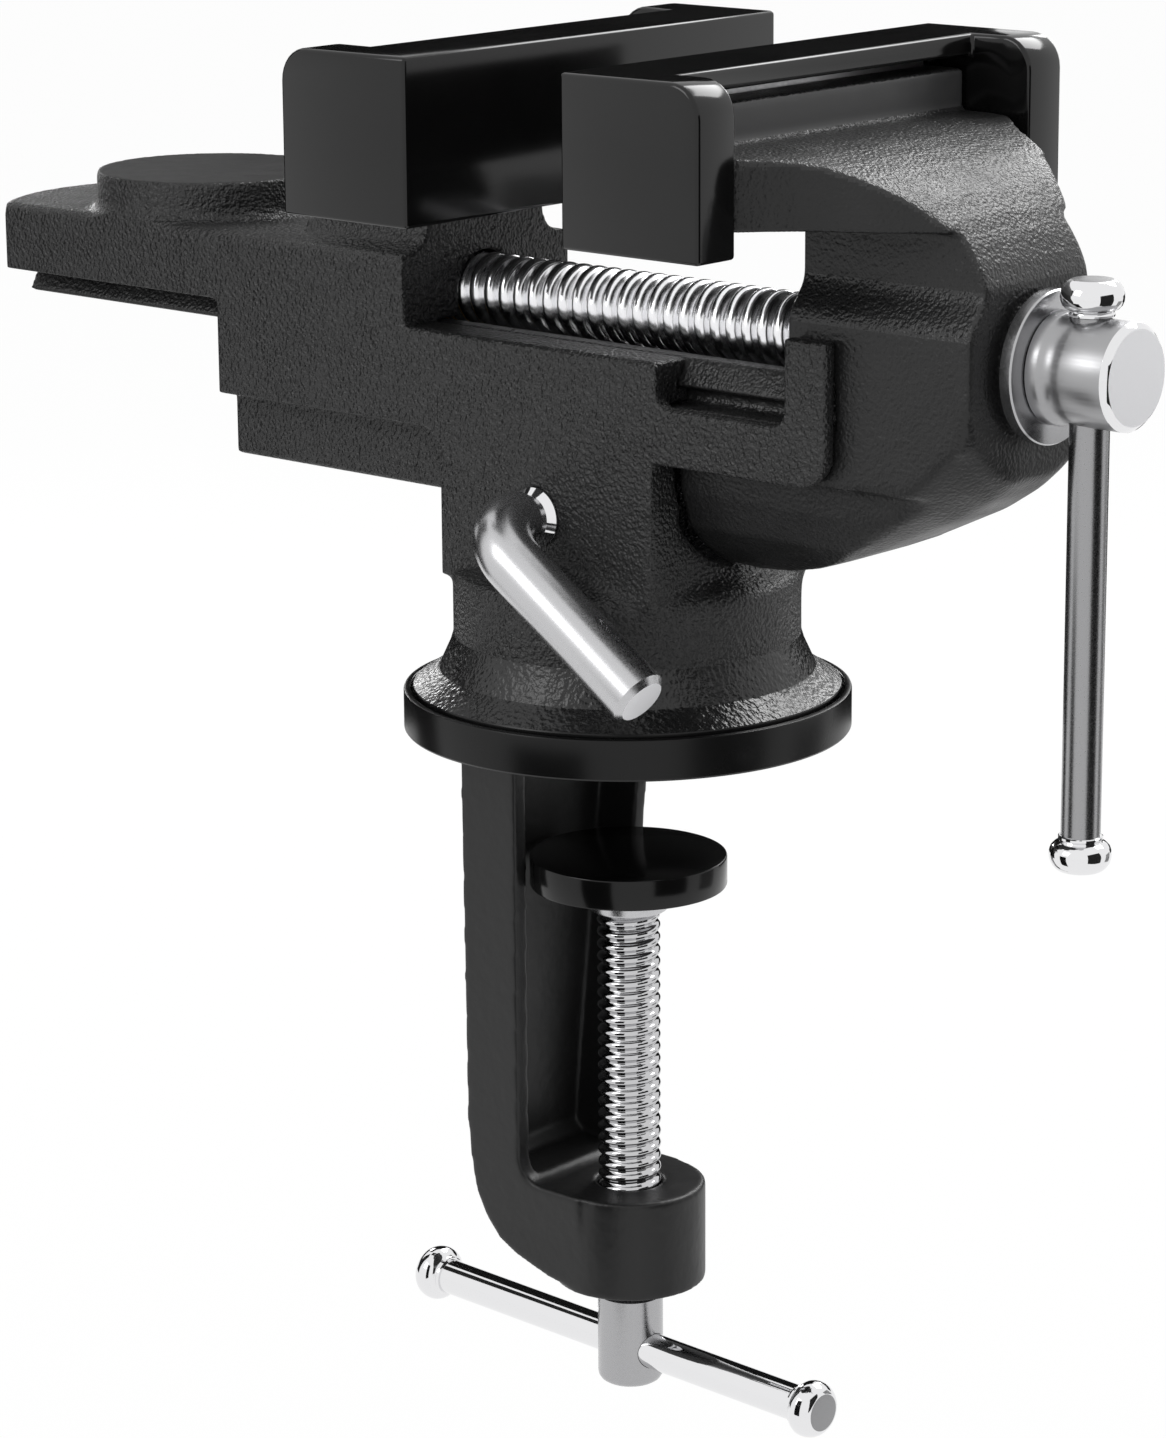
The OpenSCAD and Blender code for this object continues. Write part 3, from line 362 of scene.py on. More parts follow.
class Workbench:
    """Small operations on Blender's own tools that the pieces share."""

    @staticmethod
    def clear() -> None:
        """Leaves edit mode and selects nothing."""
        if bpy.context.mode != "OBJECT":
            bpy.ops.object.mode_set(mode="OBJECT")
        bpy.ops.object.select_all(action="DESELECT")

    @classmethod
    def only(cls, piece: bpy.types.Object) -> None:
        """Leaves the piece as the one selected and active object."""
        cls.clear()
        piece.select_set(True)
        bpy.context.view_layer.objects.active = piece

    @classmethod
    def settle(cls, piece: bpy.types.Object) -> None:
        """Applies the piece's place, so that its object sits at the origin."""
        cls.only(piece)
        bpy.ops.object.transform_apply(location=True, rotation=True, scale=True)

    @classmethod
    def apply(cls, piece: bpy.types.Object, kind: str, **settings: object) -> None:
        """Adds a modifier and applies it at once.

        Args:
            piece: The piece to change.
            kind: The modifier's type, as bpy names it.
            **settings: Values of the modifier.
        """
        cls.only(piece)
        modifier = piece.modifiers.new(kind.lower(), kind)
        for key, value in settings.items():
            setattr(modifier, key, value)
        bpy.ops.object.modifier_apply(modifier=modifier.name)

    @classmethod
    def edit(cls, piece: bpy.types.Object, steps: Callable[[], None]) -> None:
        """Runs operators on the piece in edit mode, with all of it selected first."""
        cls.only(piece)
        bpy.ops.object.mode_set(mode="EDIT")
        bpy.ops.mesh.select_all(action="SELECT")
        steps()
        bpy.ops.object.mode_set(mode="OBJECT")

    @classmethod
    def smooth(cls, piece: bpy.types.Object, angle: float = 35.0) -> None:
        """Shades the piece smooth where its faces meet at less than the angle."""
        cls.only(piece)
        bpy.ops.object.shade_smooth_by_angle(angle=math.radians(angle))

    @classmethod
    def copy_of(cls, node: str, name: str) -> bpy.types.Object:
        """Copies a solid's mesh into a new object and merges its loose triangles.

        Args:
            node: The solid to copy.
            name: The new object's name.

        Returns:
            The new object.
        """
        piece = bpy.data.objects.new(name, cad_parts[node].data.copy())
        bpy.context.scene.collection.objects.link(piece)
        piece.data.materials.clear()

        def merge() -> None:
            """Drops the stored normals and joins the corners."""
            bpy.ops.mesh.customdata_custom_splitnormals_clear()
            bpy.ops.mesh.remove_doubles(threshold=COPY_WELD)

        cls.edit(piece, merge)
        return piece

    @classmethod
    def trim(cls, piece: bpy.types.Object, level: float, keep_above: bool) -> None:
        """Cuts a piece off at a level and closes the cut.

        Args:
            piece: The piece to cut.
            level: The height of the cut, in millimetres.
            keep_above: Whether the part above it stays, and not the part below.
        """
        cls.edit(piece, lambda: bpy.ops.mesh.bisect(
            plane_co=(0, 0, level * MM), plane_no=(0, 0, 1), use_fill=True,
            clear_inner=keep_above, clear_outer=not keep_above))

    @classmethod
    def outline(cls, name: str, points: Sequence[Point2]) -> bpy.types.Object:
        """Draws a chain of edges of radius and height, in millimetres, by extruding a point."""
        cls.clear()
        bpy.ops.mesh.primitive_plane_add(size=MM, location=(0, 0, 0))
        piece = bpy.context.active_object
        piece.name = name
        bpy.ops.object.mode_set(mode="EDIT")
        bpy.ops.mesh.select_all(action="SELECT")
        bpy.ops.mesh.merge(type="CENTER")
        bpy.ops.transform.translate(value=(points[0][0] * MM, 0, points[0][1] * MM))
        for before, after in zip(points, points[1:]):
            bpy.ops.mesh.extrude_region_move(TRANSFORM_OT_translate={
                "value": ((after[0] - before[0]) * MM, 0, (after[1] - before[1]) * MM)})
        return piece

    @classmethod
    def place(cls, piece: bpy.types.Object, axis: Axis, centre: Point3, turn: float = 0.0) -> None:
        """Turns a piece from Z to its axis, then about Z by some degrees, and moves it to its centre."""
        cls.only(piece)
        about_x, about_y = axis.value
        piece.matrix_world = (Matrix.Translation([c * MM for c in centre])
                              @ Matrix.Rotation(math.radians(turn), 4, "Z")
                              @ Matrix.Rotation(about_y, 4, "Y")
                              @ Matrix.Rotation(about_x, 4, "X"))
        cls.settle(piece)

    @classmethod
    def lathe(cls, name: str, profile: Sequence[Point2], axis: Axis, centre: Point3, steps: int = 96,
              turn: float = 0.0) -> bpy.types.Object:
        """Turns an outline of radius and height about an axis.

        Args:
            name: The new object's name.
            profile: Radius and height of each point, in millimetres.
            axis: The axis to turn about.
            centre: The point of the axis where height is 0, in millimetres.
            steps: Number of sides.
            turn: Turn of the axis about Z, in degrees.

        Returns:
            The new object.
        """
        piece = cls.outline(name, profile)
        bpy.ops.mesh.select_all(action="SELECT")
        bpy.ops.mesh.spin(steps=steps, angle=2 * math.pi, center=(0, 0, 0), axis=(0, 0, 1))
        bpy.ops.mesh.select_all(action="SELECT")
        bpy.ops.mesh.remove_doubles(threshold=SEAM_WELD)
        bpy.ops.mesh.normals_make_consistent(inside=False)
        cls.place(piece, axis, centre, turn)
        return piece

    @classmethod
    def helix(cls, name: str, tooth: Sequence[Point2], pitch: float, span: Point2, axis: Axis, centre: Point3,
              steps: int = 48) -> bpy.types.Object:
        """Winds a tooth into a right-handed thread that is closed flat at both ends.

        Args:
            name: The new object's name.
            tooth: Radius, and share of the pitch from 0 to 1, of each point of the tooth.
            pitch: The thread's pitch, in millimetres.
            span: Where the thread starts and ends along its axis, in millimetres.
            axis: The thread's axis.
            centre: The point of the axis where height is 0, in millimetres.
            steps: Number of sides.

        Returns:
            The new object.
        """
        start, end = span
        piece = cls.outline(name, [(r, start - 2 * pitch + share * pitch) for r, share in tooth])
        cls.apply(piece, "SCREW", axis="Z", angle=2 * math.pi, screw_offset=pitch * MM,
                  iterations=math.ceil((end - start) / pitch) + 3, steps=steps, render_steps=steps)

        def close() -> None:
            """Joins the turns and cuts both ends flat."""
            bpy.ops.mesh.remove_doubles(threshold=SEAM_WELD)
            for level, above in ((start, True), (end, False)):
                bpy.ops.mesh.select_all(action="SELECT")
                bpy.ops.mesh.bisect(plane_co=(0, 0, level * MM), plane_no=(0, 0, 1), use_fill=True,
                                    clear_inner=above, clear_outer=not above)
            bpy.ops.mesh.select_all(action="SELECT")
            bpy.ops.mesh.normals_make_consistent(inside=False)

        cls.edit(piece, close)
        cls.place(piece, axis, centre)
        return piece

    @classmethod
    def cut(cls, piece: bpy.types.Object, cutter: bpy.types.Object) -> None:
        """Cuts one piece out of another and throws the cutter away."""
        cls.apply(piece, "BOOLEAN", operation="DIFFERENCE", object=cutter, solver="EXACT")
        bpy.data.objects.remove(cutter, do_unlink=True)

    @classmethod
    def drill(cls, piece: bpy.types.Object, name: str, half: float, axis: Axis, centre: Point3,
              turn: float = 0.0) -> None:
        """Drills the hole that a sliding bar runs in.

        Args:
            piece: The piece to drill.
            name: The cutter's name.
            half: Half the cutter's length, in millimetres.
            axis: The hole's axis.
            centre: The hole's middle, in millimetres.
            turn: Turn of the hole about Z, in degrees.
        """
        cutter = cls.lathe(name, [(0.0, -half), (BAR_HOLE_R, -half), (BAR_HOLE_R, half), (0.0, half)], axis,
                           centre, 64, turn)
        cls.cut(piece, cutter)

    @classmethod
    def join(cls, pieces: Sequence[bpy.types.Object]) -> bpy.types.Object:
        """Joins pieces into the first of them."""
        cls.only(pieces[0])
        for piece in pieces:
            piece.select_set(True)
        bpy.ops.object.join()
        return pieces[0]


@dataclass
class Dresser:
    """Gives pieces their finish, their body and the solid that they stand for."""

    materials: dict[Finish, bpy.types.Material] = field(default_factory=dict)

    def prepare(self) -> None:
        """Builds each material once."""
        effects = Effects()
        for finish in Finish:
            self.materials[finish] = finish.value.build(effects)

    def dress(self, piece: bpy.types.Object, finish: Finish, body: Body, node: str) -> None:
        """Finishes a new piece.

        Args:
            piece: The new object.
            finish: Its main finish.
            body: The body that it moves with.
            node: The solid that it stands for.
        """
        piece.data.materials.clear()
        piece.data.materials.append(self.materials[finish])
        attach(piece, body.value)
        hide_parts(node)
        LOG.info("%s rides on %s, %d faces", piece.name, body.value, len(piece.data.polygons))

    def patch(self, piece: bpy.types.Object, finish: Finish, test: FaceTest) -> None:
        """Gives the faces that pass a test another finish.

        Args:
            piece: A dressed piece.
            finish: The finish of those faces.
            test: Says yes or no from a face's centre, in millimetres, and its normal.
        """
        piece.data.materials.append(self.materials[finish])
        index = len(piece.data.materials) - 1
        for face in piece.data.polygons:
            if test(face.center / MM, face.normal):
                face.material_index = index


# Sub-assemblies


@dataclass
class Castings:
    """The body, the movable jaw and the clamp frame, in millimetres.

    Attributes:
        most_faces: The most triangles that a softened casting keeps.
        column_cut: Level where the body is cut off, for its skirt to be turned.
        fillet_corner: X and Z of the corner that the fillet fills.
        fillet_sink: How far the fillet reaches into the casting.
        lever_seat: X, Z and radius of the machined seat of the lock lever.
        washer_seat: Radius of the machined seat of the washer.
        arm_sink: How far the arm reaches up into the flange.
    """

    most_faces: int = 190000
    casting_rounds: int = 5
    skirt: tuple[Point2, ...] = (
        (14.0, 5.3), (32.75, 5.3), (33.0, 5.45), (33.0, 6.75), (32.9, 6.95), (29.2, 9.35), (28.95, 9.6),
        (27.2, 13.4), (26.9, 14.4), (26.72, 15.0), (26.3, 15.0), (14.0, 15.0), (14.0, 5.3))
    skirt_sides: int = 128
    skirt_top: float = 15.0
    skirt_neck_r: float = 26.75
    rim_top: float = 7.0
    column_cut: float = 13.2
    column_low: float = 17.0
    column_high: float = 38.0
    column_front: float = 9.0
    column_rounds: int = 70
    lever_seat: Point3 = (-1.6, 35.5, 8.0)
    anvil_top: float = 78.2
    anvil_front: float = -60.0
    fillet_corner: Point2 = (-21.4, 46.3)
    fillet_r: float = 4.5
    fillet_sink: float = 0.6
    body_half_w: float = 18.95
    overrun: float = 5.0
    washer_seat: float = 13.0
    hull_front: float = 55.0
    hull_top: float = 60.0
    hull_rounds: int = 30
    horn_front: float = 52.0
    horn_low: float = 70.0
    horn_high: float = 91.0
    horn_far: float = 8.0
    horn_rounds: int = 60
    beam_low: float = 93.0
    jaw_back: float = 37.7
    jaw_back_low: float = 94.6
    flange: tuple[Point2, ...] = (
        (9.6, 0.0), (34.0, 0.0), (34.3, 0.12), (34.5, 0.4), (34.5, 6.05), (34.4, 6.3), (34.15, 6.4),
        (33.6, 6.4), (33.5, 6.3), (33.5, 5.2), (5.06, 5.2), (5.06, 4.8), (9.6, 0.3), (9.6, 0.0))
    flange_sides: int = 160
    arm_sink: float = 1.4
    arm_voxel: float = 0.33
    arm_rounds: int = 16

    def soften(self, piece: bpy.types.Object, rounds: int, regions: Sequence[tuple[PlaceTest, int]] = (),
               voxel: float = 0.5) -> None:
        """Rounds a casting's edges and corners, and keeps its face count in bounds.

        Args:
            piece: The casting.
            rounds: How often all of it is smoothed.
            regions: Places, in millimetres, that are smoothed more, and how often.
            voxel: The size of the new mesh's cells, in millimetres.
        """
        Workbench.apply(piece, "REMESH", mode="VOXEL", voxel_size=voxel * MM, adaptivity=0.0)
        Workbench.apply(piece, "SMOOTH", factor=0.5, iterations=rounds)
        for test, more in regions:
            group = piece.vertex_groups.new(name="soft_region")
            group.add([v.index for v in piece.data.vertices if test(v.co / MM)], 1.0, "REPLACE")
            Workbench.apply(piece, "SMOOTH", factor=0.5, iterations=more, vertex_group=group.name)
            piece.vertex_groups.clear()
        triangles = 2 * len(piece.data.polygons)
        if triangles > self.most_faces:
            Workbench.apply(piece, "DECIMATE", ratio=self.most_faces / triangles)
        Workbench.only(piece)
        bpy.ops.object.shade_smooth()

    def add_fillet(self, piece: bpy.types.Object) -> None:
        """Fills the corner between the body's rear plate and its neck with a concave round."""
        (corner_x, corner_z), radius = self.fillet_corner, self.fillet_r
        size, end = radius + self.fillet_sink, self.body_half_w + self.overrun
        Workbench.clear()
        bpy.ops.mesh.primitive_cube_add(size=MM)
        wedge = bpy.context.active_object
        wedge.name = "fillet_wedge"
        wedge.matrix_world = (Matrix.Translation([(corner_x + self.fillet_sink - size / 2) * MM, 0,
                                                  (corner_z + self.fillet_sink - size / 2) * MM])
                              @ Matrix.Diagonal((size, 2 * self.body_half_w, size, 1.0)))
        Workbench.settle(wedge)
        round_cut = Workbench.lathe("fillet_round", [(0.0, -end), (radius, -end), (radius, end), (0.0, end)],
                                    Axis.Y, (corner_x - radius, 0.0, corner_z - radius))
        Workbench.cut(wedge, round_cut)
        Workbench.join([piece, wedge])

    def on_column(self, p: Vector) -> bool:
        """Says whether a point is on the front of the column, off the lever's seat."""
        seat_x, seat_z, seat_r = self.lever_seat
        return (self.column_low < p.z < self.column_high and p.x > self.column_front
                and math.hypot(p.x - seat_x, p.z - seat_z) > seat_r)

    def body(self, dresser: Dresser) -> None:
        """Builds the body casting, with a turned skirt under its column."""
        piece = Workbench.copy_of("body_casting", "body_casting_skin")
        Workbench.trim(piece, self.column_cut, keep_above=True)
        self.add_fillet(piece)
        self.soften(piece, self.casting_rounds, [(self.on_column, self.column_rounds)])
        skirt = Workbench.lathe("skirt_ring", self.skirt, Axis.Z, ORIGIN, self.skirt_sides)
        Workbench.smooth(skirt, 20.0)
        Workbench.join([piece, skirt])
        dresser.dress(piece, Finish.BODY, Body.BODY, "body_casting")
        dresser.patch(piece, Finish.SKIRT, lambda c, n: (self.rim_top < c.z < self.skirt_top
                                                         and math.hypot(c.x, c.y) > self.skirt_neck_r))
        dresser.patch(piece, Finish.RIM, lambda c, n: c.z <= self.rim_top)
        dresser.patch(piece, Finish.MILLED,
                      lambda c, n: c.z > self.anvil_top and n.z > 0.97 and c.x < self.anvil_front)

    def off_washer(self, p: Vector) -> bool:
        """Says whether a point of the jaw is clear of the washer's seat."""
        return math.hypot(p.y, p.z - SCREW_Z) > self.washer_seat

    def on_hull(self, p: Vector) -> bool:
        """Says whether a point is on the front of the jaw's hull."""
        return p.x > self.hull_front and p.z < self.hull_top and self.off_washer(p)

    def on_horn(self, p: Vector) -> bool:
        """Says whether a point is on the far side of the jaw's horn."""
        return (p.x > self.horn_front and self.horn_low < p.z < self.horn_high and p.y > self.horn_far
                and self.off_washer(p))

    def jaw(self, dresser: Dresser) -> None:
        """Builds the movable jaw, with painted shade on its lower faces that don't face up, and a milled
        strip behind its plate.
        """
        piece = Workbench.copy_of("movable_jaw", "movable_jaw_skin")
        self.soften(piece, self.casting_rounds, [(self.on_hull, self.hull_rounds),
                                                 (self.on_horn, self.horn_rounds)])
        dresser.dress(piece, Finish.JAW, Body.JAW, "movable_jaw")
        # Painted shade: faces under the beam that don't face up take the darker side coat
        dresser.patch(piece, Finish.JAW_SIDE_PAINTED_SHADE, lambda c, n: n.z < 0.12 and c.z < self.beam_low)
        dresser.patch(piece, Finish.JAW_BACK, lambda c, n: (n.x > 0.93 and c.z > self.jaw_back_low
                                                            and abs(c.x - self.jaw_back) < 0.5))

    def clamp_frame(self, dresser: Dresser) -> None:
        """Builds the clamp frame: a softened arm under a turned flange."""
        arm = Workbench.copy_of("clamp_frame", "clamp_frame_skin")
        Workbench.trim(arm, 0.0, keep_above=False)
        for vertex in arm.data.vertices:
            if vertex.co.z > -TOUCH:
                vertex.co.z += self.arm_sink * MM
        self.soften(arm, self.arm_rounds, voxel=self.arm_voxel)
        flange = Workbench.lathe("flange_disc", self.flange, Axis.Z, ORIGIN, self.flange_sides)
        Workbench.smooth(flange, 30.0)
        Workbench.join([arm, flange])
        dresser.dress(arm, Finish.ARM, Body.FRAME, "clamp_frame")
        dresser.patch(arm, Finish.RIM, lambda c, n: c.z > -TOUCH / MM)

    def build(self, dresser: Dresser) -> None:
        """Builds the three castings."""
        self.body(dresser)
        self.jaw(dresser)
        self.clamp_frame(dresser)


@dataclass
class LooseBar:
    """A sliding bar with a knob at each end, in millimetres and degrees.

    Attributes:
        knob: Radius, and height over the bar's end, of each point of a knob's outline.
        knob_face: Height over the bar's end from which a knob's level faces are its flat end.
    """

    name: str
    body: Body
    centre: Point3
    length: float
    axis: Axis
    bar_finish: Finish
    bar_node: str
    knob_node: str
    turn: float = 0.0
    knob: tuple[Point2, ...] = (
        (0.0, 0.0), (3.05, 0.0), (3.2, 0.12), (3.25, 0.4), (3.1, 0.68), (3.2, 0.9), (3.75, 1.15), (4.2, 1.6),
        (4.45, 2.2), (4.5, 2.75), (4.46, 3.3), (4.28, 3.95), (3.95, 4.5), (3.55, 4.92), (3.2, 5.12),
        (2.95, 5.2), (0.0, 5.2))
    knob_face: float = 5.0
    sides: int = 64

    def turned(self, label: str, profile: Sequence[Point2]) -> bpy.types.Object:
        """Turns an outline of radius and height about the bar's own axis."""
        return Workbench.lathe(f"{self.name}_{label}", profile, self.axis, self.centre, self.sides, self.turn)

    def build(self, dresser: Dresser) -> None:
        """Builds the bar and its knobs."""
        half = self.length / 2
        bar = self.turned("rod", [(0.0, -half), (BAR_R, -half), (BAR_R, half), (0.0, half)])
        Workbench.smooth(bar)
        dresser.dress(bar, self.bar_finish, self.body, self.bar_node)
        knobs = Workbench.join([self.turned("knobs", [(r, half + h) for r, h in self.knob]),
                                self.turned("knob_low", [(r, -half - h) for r, h in self.knob])])
        Workbench.smooth(knobs, 28.0)
        dresser.dress(knobs, Finish.CHROME, self.body, self.knob_node)
        along = Vector((math.cos(math.radians(self.turn)), math.sin(math.radians(self.turn)), 0.0))
        along = Vector((0.0, 0.0, 1.0)) if self.axis is Axis.Z else along
        middle = Vector(self.centre)
        dresser.patch(knobs, Finish.KNOB_END, lambda c, n: (
            abs(n.dot(along)) > 0.98 and abs((c - middle).dot(along)) > half + self.knob_face))


@dataclass
class MainScrew:
    """The main screw with its satin head, and the washer behind it, in millimetres.

    Attributes:
        tooth: Radius, and share of the pitch, of each point of the thread's tooth.
        shank: Radius and X of each point of the outline from the thread's end to the head's end.
        hole_half: Half the length of the cutter of the hole for the handle.
        chamfer_start: X from which slanted faces are the head's chamfer, as upright ones from face_start
            are its end.
    """

    centre: Point3 = (0.0, 0.0, SCREW_Z)
    pitch: float = 3.0
    span: Point2 = (-72.0, 44.6)
    tooth: tuple[Point2, ...] = (
        (4.75, 0.0), (4.85, 0.08), (5.35, 0.17), (5.68, 0.26), (5.85, 0.38), (5.9, 0.52), (5.86, 0.66),
        (5.7, 0.78), (5.38, 0.87), (4.86, 0.95), (4.75, 1.0))
    shank: tuple[Point2, ...] = (
        (0.0, 43.9), (4.7, 43.9), (5.9, 45.2), (5.9, 60.7), (4.4, 60.7), (4.4, 64.9), (5.9, 64.9),
        (5.9, 79.6), (7.9, 79.6), (8.06, 79.75), (8.06, 81.3), (7.95, 81.7), (7.7, 82.2), (7.52, 82.8),
        (7.46, 83.4), (7.5, 84.0), (7.62, 84.6), (7.7, 85.3), (7.7, 91.95), (7.64, 92.08), (6.9, 92.82),
        (6.78, 92.9), (0.0, 92.9))
    hole_half: float = 12.0
    chamfer_start: float = 91.9
    face_start: float = 92.8
    washer: tuple[Point2, ...] = (
        (5.96, 77.4), (10.8, 77.4), (11.0, 77.6), (11.0, 79.25), (10.8, 79.5), (5.96, 79.5), (5.96, 77.4))

    def build(self, dresser: Dresser) -> None:
        """Builds the thread, the head and the washer."""
        thread = Workbench.helix("main_screw_thread", self.tooth, self.pitch, self.span, Axis.X, self.centre)
        Workbench.smooth(thread, 50.0)
        dresser.dress(thread, Finish.THREAD, Body.SCREW, "main_screw")
        head = Workbench.lathe("main_screw_head", self.shank, Axis.X, self.centre)
        Workbench.drill(head, "cross_hole", self.hole_half, Axis.Z, (HANDLE_X, 0.0, SCREW_Z))
        Workbench.smooth(head, 25.0)
        dresser.dress(head, Finish.HEAD, Body.SCREW, "main_screw")
        dresser.patch(head, Finish.FACED, lambda c, n: n.x > 0.95 and c.x > self.face_start)
        dresser.patch(head, Finish.CHROME, lambda c, n: 0.4 < n.x < 0.9 and c.x > self.chamfer_start)
        washer = Workbench.lathe("thrust_washer_disc", self.washer, Axis.X, self.centre)
        Workbench.smooth(washer, 25.0)
        dresser.dress(washer, Finish.WASHER, Body.SCREW, "thrust_washer")


@dataclass
class ClampScrew:
    """The clamp screw with its cross-drilled head, its pad and the pad's ring, in millimetres.

    The outlines hold the radius and Z of each point, and the tooth its radius and share of the pitch.

    Attributes:
        hole_half: Half the length of the cutter of the hole for the tommy bar.
        spigot: Outline of the neck that the pad turns on.
    """

    pitch: float = 2.0
    span: Point2 = (-93.7, -29.9)
    tooth: tuple[Point2, ...] = (
        (4.25, 0.0), (4.3, 0.1), (4.65, 0.22), (4.92, 0.36), (5.0, 0.5), (4.92, 0.64), (4.65, 0.78),
        (4.3, 0.9), (4.25, 1.0))
    head: tuple[Point2, ...] = (
        (0.0, -108.5), (3.6, -108.5), (4.3, -108.35), (4.8, -108.0), (5.1, -107.5), (5.2, -107.0),
        (5.2, -93.85), (4.85, -93.5), (0.0, -93.5))
    hole_half: float = 9.0
    spigot: tuple[Point2, ...] = (
        (0.0, -30.2), (4.2, -30.2), (4.2, -29.9), (2.5, -29.9), (2.5, -25.64), (3.4, -25.64), (3.4, -22.8),
        (0.0, -22.8))
    spigot_sides: int = 48
    pad: tuple[Point2, ...] = (
        (3.46, -25.7), (15.1, -25.7), (15.3, -25.62), (15.4, -25.4), (15.4, -21.2), (15.3, -20.98),
        (15.1, -20.9), (0.0, -20.9), (0.0, -22.7), (3.46, -22.7), (3.46, -25.7))
    pad_sides: int = 128
    ring: tuple[Point2, ...] = (
        (2.56, -29.8), (5.8, -29.8), (6.1, -29.6), (6.2, -29.3), (6.2, -25.7), (2.56, -25.7), (2.56, -29.8))
    ring_sides: int = 64

    def build(self, dresser: Dresser) -> None:
        """Builds the screw, the pad and the ring."""
        thread = Workbench.join([
            Workbench.helix("clamp_screw_thread", self.tooth, self.pitch, self.span, Axis.Z, ORIGIN),
            Workbench.lathe("clamp_screw_spigot", self.spigot, Axis.Z, ORIGIN, self.spigot_sides)])
        Workbench.smooth(thread, 50.0)
        dresser.dress(thread, Finish.CLAMP_THREAD, Body.CLAMP_SCREW, "clamp_screw")
        head = Workbench.lathe("clamp_screw_head", self.head, Axis.Z, ORIGIN)
        Workbench.drill(head, "tommy_hole", self.hole_half, Axis.X, (0.0, 0.0, TOMMY_Z), TOMMY_TURN)
        Workbench.smooth(head, 30.0)
        dresser.dress(head, Finish.CLAMP_HEAD, Body.CLAMP_SCREW, "clamp_screw")
        pad = Workbench.lathe("clamp_pad_disc", self.pad, Axis.Z, ORIGIN, self.pad_sides)
        Workbench.smooth(pad, 30.0)
        dresser.dress(pad, Finish.PAD, Body.PAD, "clamp_pad")
        ring = Workbench.lathe("pad_ring", self.ring, Axis.Z, ORIGIN, self.ring_sides)
        Workbench.smooth(ring, 30.0)
        dresser.dress(ring, Finish.LEVER, Body.PAD, "pad_retaining_ring")


@dataclass
class SolidPieces:
    """The pieces whose solids have the right shape, with their edges softened.

    Attributes:
        pieces: Finish, body and edge width in millimetres of each solid.
        flat_angle: Angle in degrees under which neighbouring faces become one.
        edge_angle: Angle in degrees over which an edge is softened.
        lever_turn: How far the lever's arm points down, in degrees.
        tip_from: Distance in the arm's direction, in millimetres, from which slanted faces are its chamfer.
        boss_chamfer: Y, in millimetres, between which the chamfer of the lever's boss lies.
    """

    pieces: dict[str, tuple[Finish, Body, float]] = field(default_factory=lambda: {
        "swivel_bolt": (Finish.STEEL, Body.BODY, 0.15),
        "main_nut": (Finish.BRASS, Body.BODY, 0.3),
        "nut_keeper_plate": (Finish.STEEL, Body.BODY, 0.2),
        "nut_keeper_screws": (Finish.STEEL, Body.BODY, 0.0),
        "lock_pin": (Finish.STEEL, Body.BODY, 0.0),
        "fixed_jaw_plate": (Finish.STEEL, Body.BODY, 0.25),
        "fixed_jaw_plate_screws": (Finish.STEEL, Body.BODY, 0.0),
        "fixed_jaw_cover": (Finish.COVER, Body.BODY, 0.6),
        "movable_jaw_plate": (Finish.STEEL, Body.JAW, 0.25),
        "movable_jaw_plate_screws": (Finish.STEEL, Body.JAW, 0.0),
        "movable_jaw_cover": (Finish.COVER, Body.JAW, 0.6),
        "screw_retaining_pin": (Finish.STEEL, Body.JAW, 0.0),
        "lock_lever": (Finish.LEVER, Body.LOCK_LEVER, 0.0),
    })
    flat_angle: float = 2.0
    edge_angle: float = 30.0
    lever_turn: float = 34.4
    tip_from: float = 28.06
    boss_chamfer: Point2 = (-20.4, -19.0)

    def build(self, dresser: Dresser) -> None:
        """Copies each solid, softens its edges and finishes it."""
        flat, sharp = math.radians(self.flat_angle), math.radians(self.edge_angle)
        for node, (finish, body, width) in self.pieces.items():
            piece = Workbench.copy_of(node, f"{node}_piece")
            if width:
                Workbench.edit(piece, lambda: bpy.ops.mesh.dissolve_limited(angle_limit=flat))
                Workbench.apply(piece, "BEVEL", width=width * MM, segments=3, limit_method="ANGLE",
                                angle_limit=sharp)
            Workbench.smooth(piece)
            dresser.dress(piece, finish, body, node)
            if node == "lock_lever":
                self.finish_lever(dresser, piece)

    def finish_lever(self, dresser: Dresser, piece: bpy.types.Object) -> None:
        """Makes the lever's chamfers bright and its end face pale."""
        down = math.radians(self.lever_turn)
        along = Vector((math.cos(down), 0, -math.sin(down)))
        boss_front, boss_back = self.boss_chamfer
        dresser.patch(piece, Finish.CHROME, lambda c, n: (
            (0.5 < n.dot(along) < 0.9 and c.dot(along) > self.tip_from)
            or (-0.9 < n.y < -0.5 and boss_front < c.y < boss_back)))
        dresser.patch(piece, Finish.FACED, lambda c, n: n.dot(along) > 0.97)


# Studio


def matt_material(name: str, shade: float) -> tuple[bpy.types.Material, bpy.types.Node]:
    """Makes a matt grey material for the studio.

    Args:
        name: The material's name.
        shade: Its grey.

    Returns:
        The material and its Principled shader.
    """
    material = bpy.data.materials.new(name)
    material.use_nodes = True
    shader = next(n for n in material.node_tree.nodes if n.type == "BSDF_PRINCIPLED")
    shader.inputs["Base Color"].default_value = (shade, shade, shade, 1)
    shader.inputs["Roughness"].default_value = 1.0
    shader.inputs["Specular IOR Level"].default_value = 0.0
    return material, shader


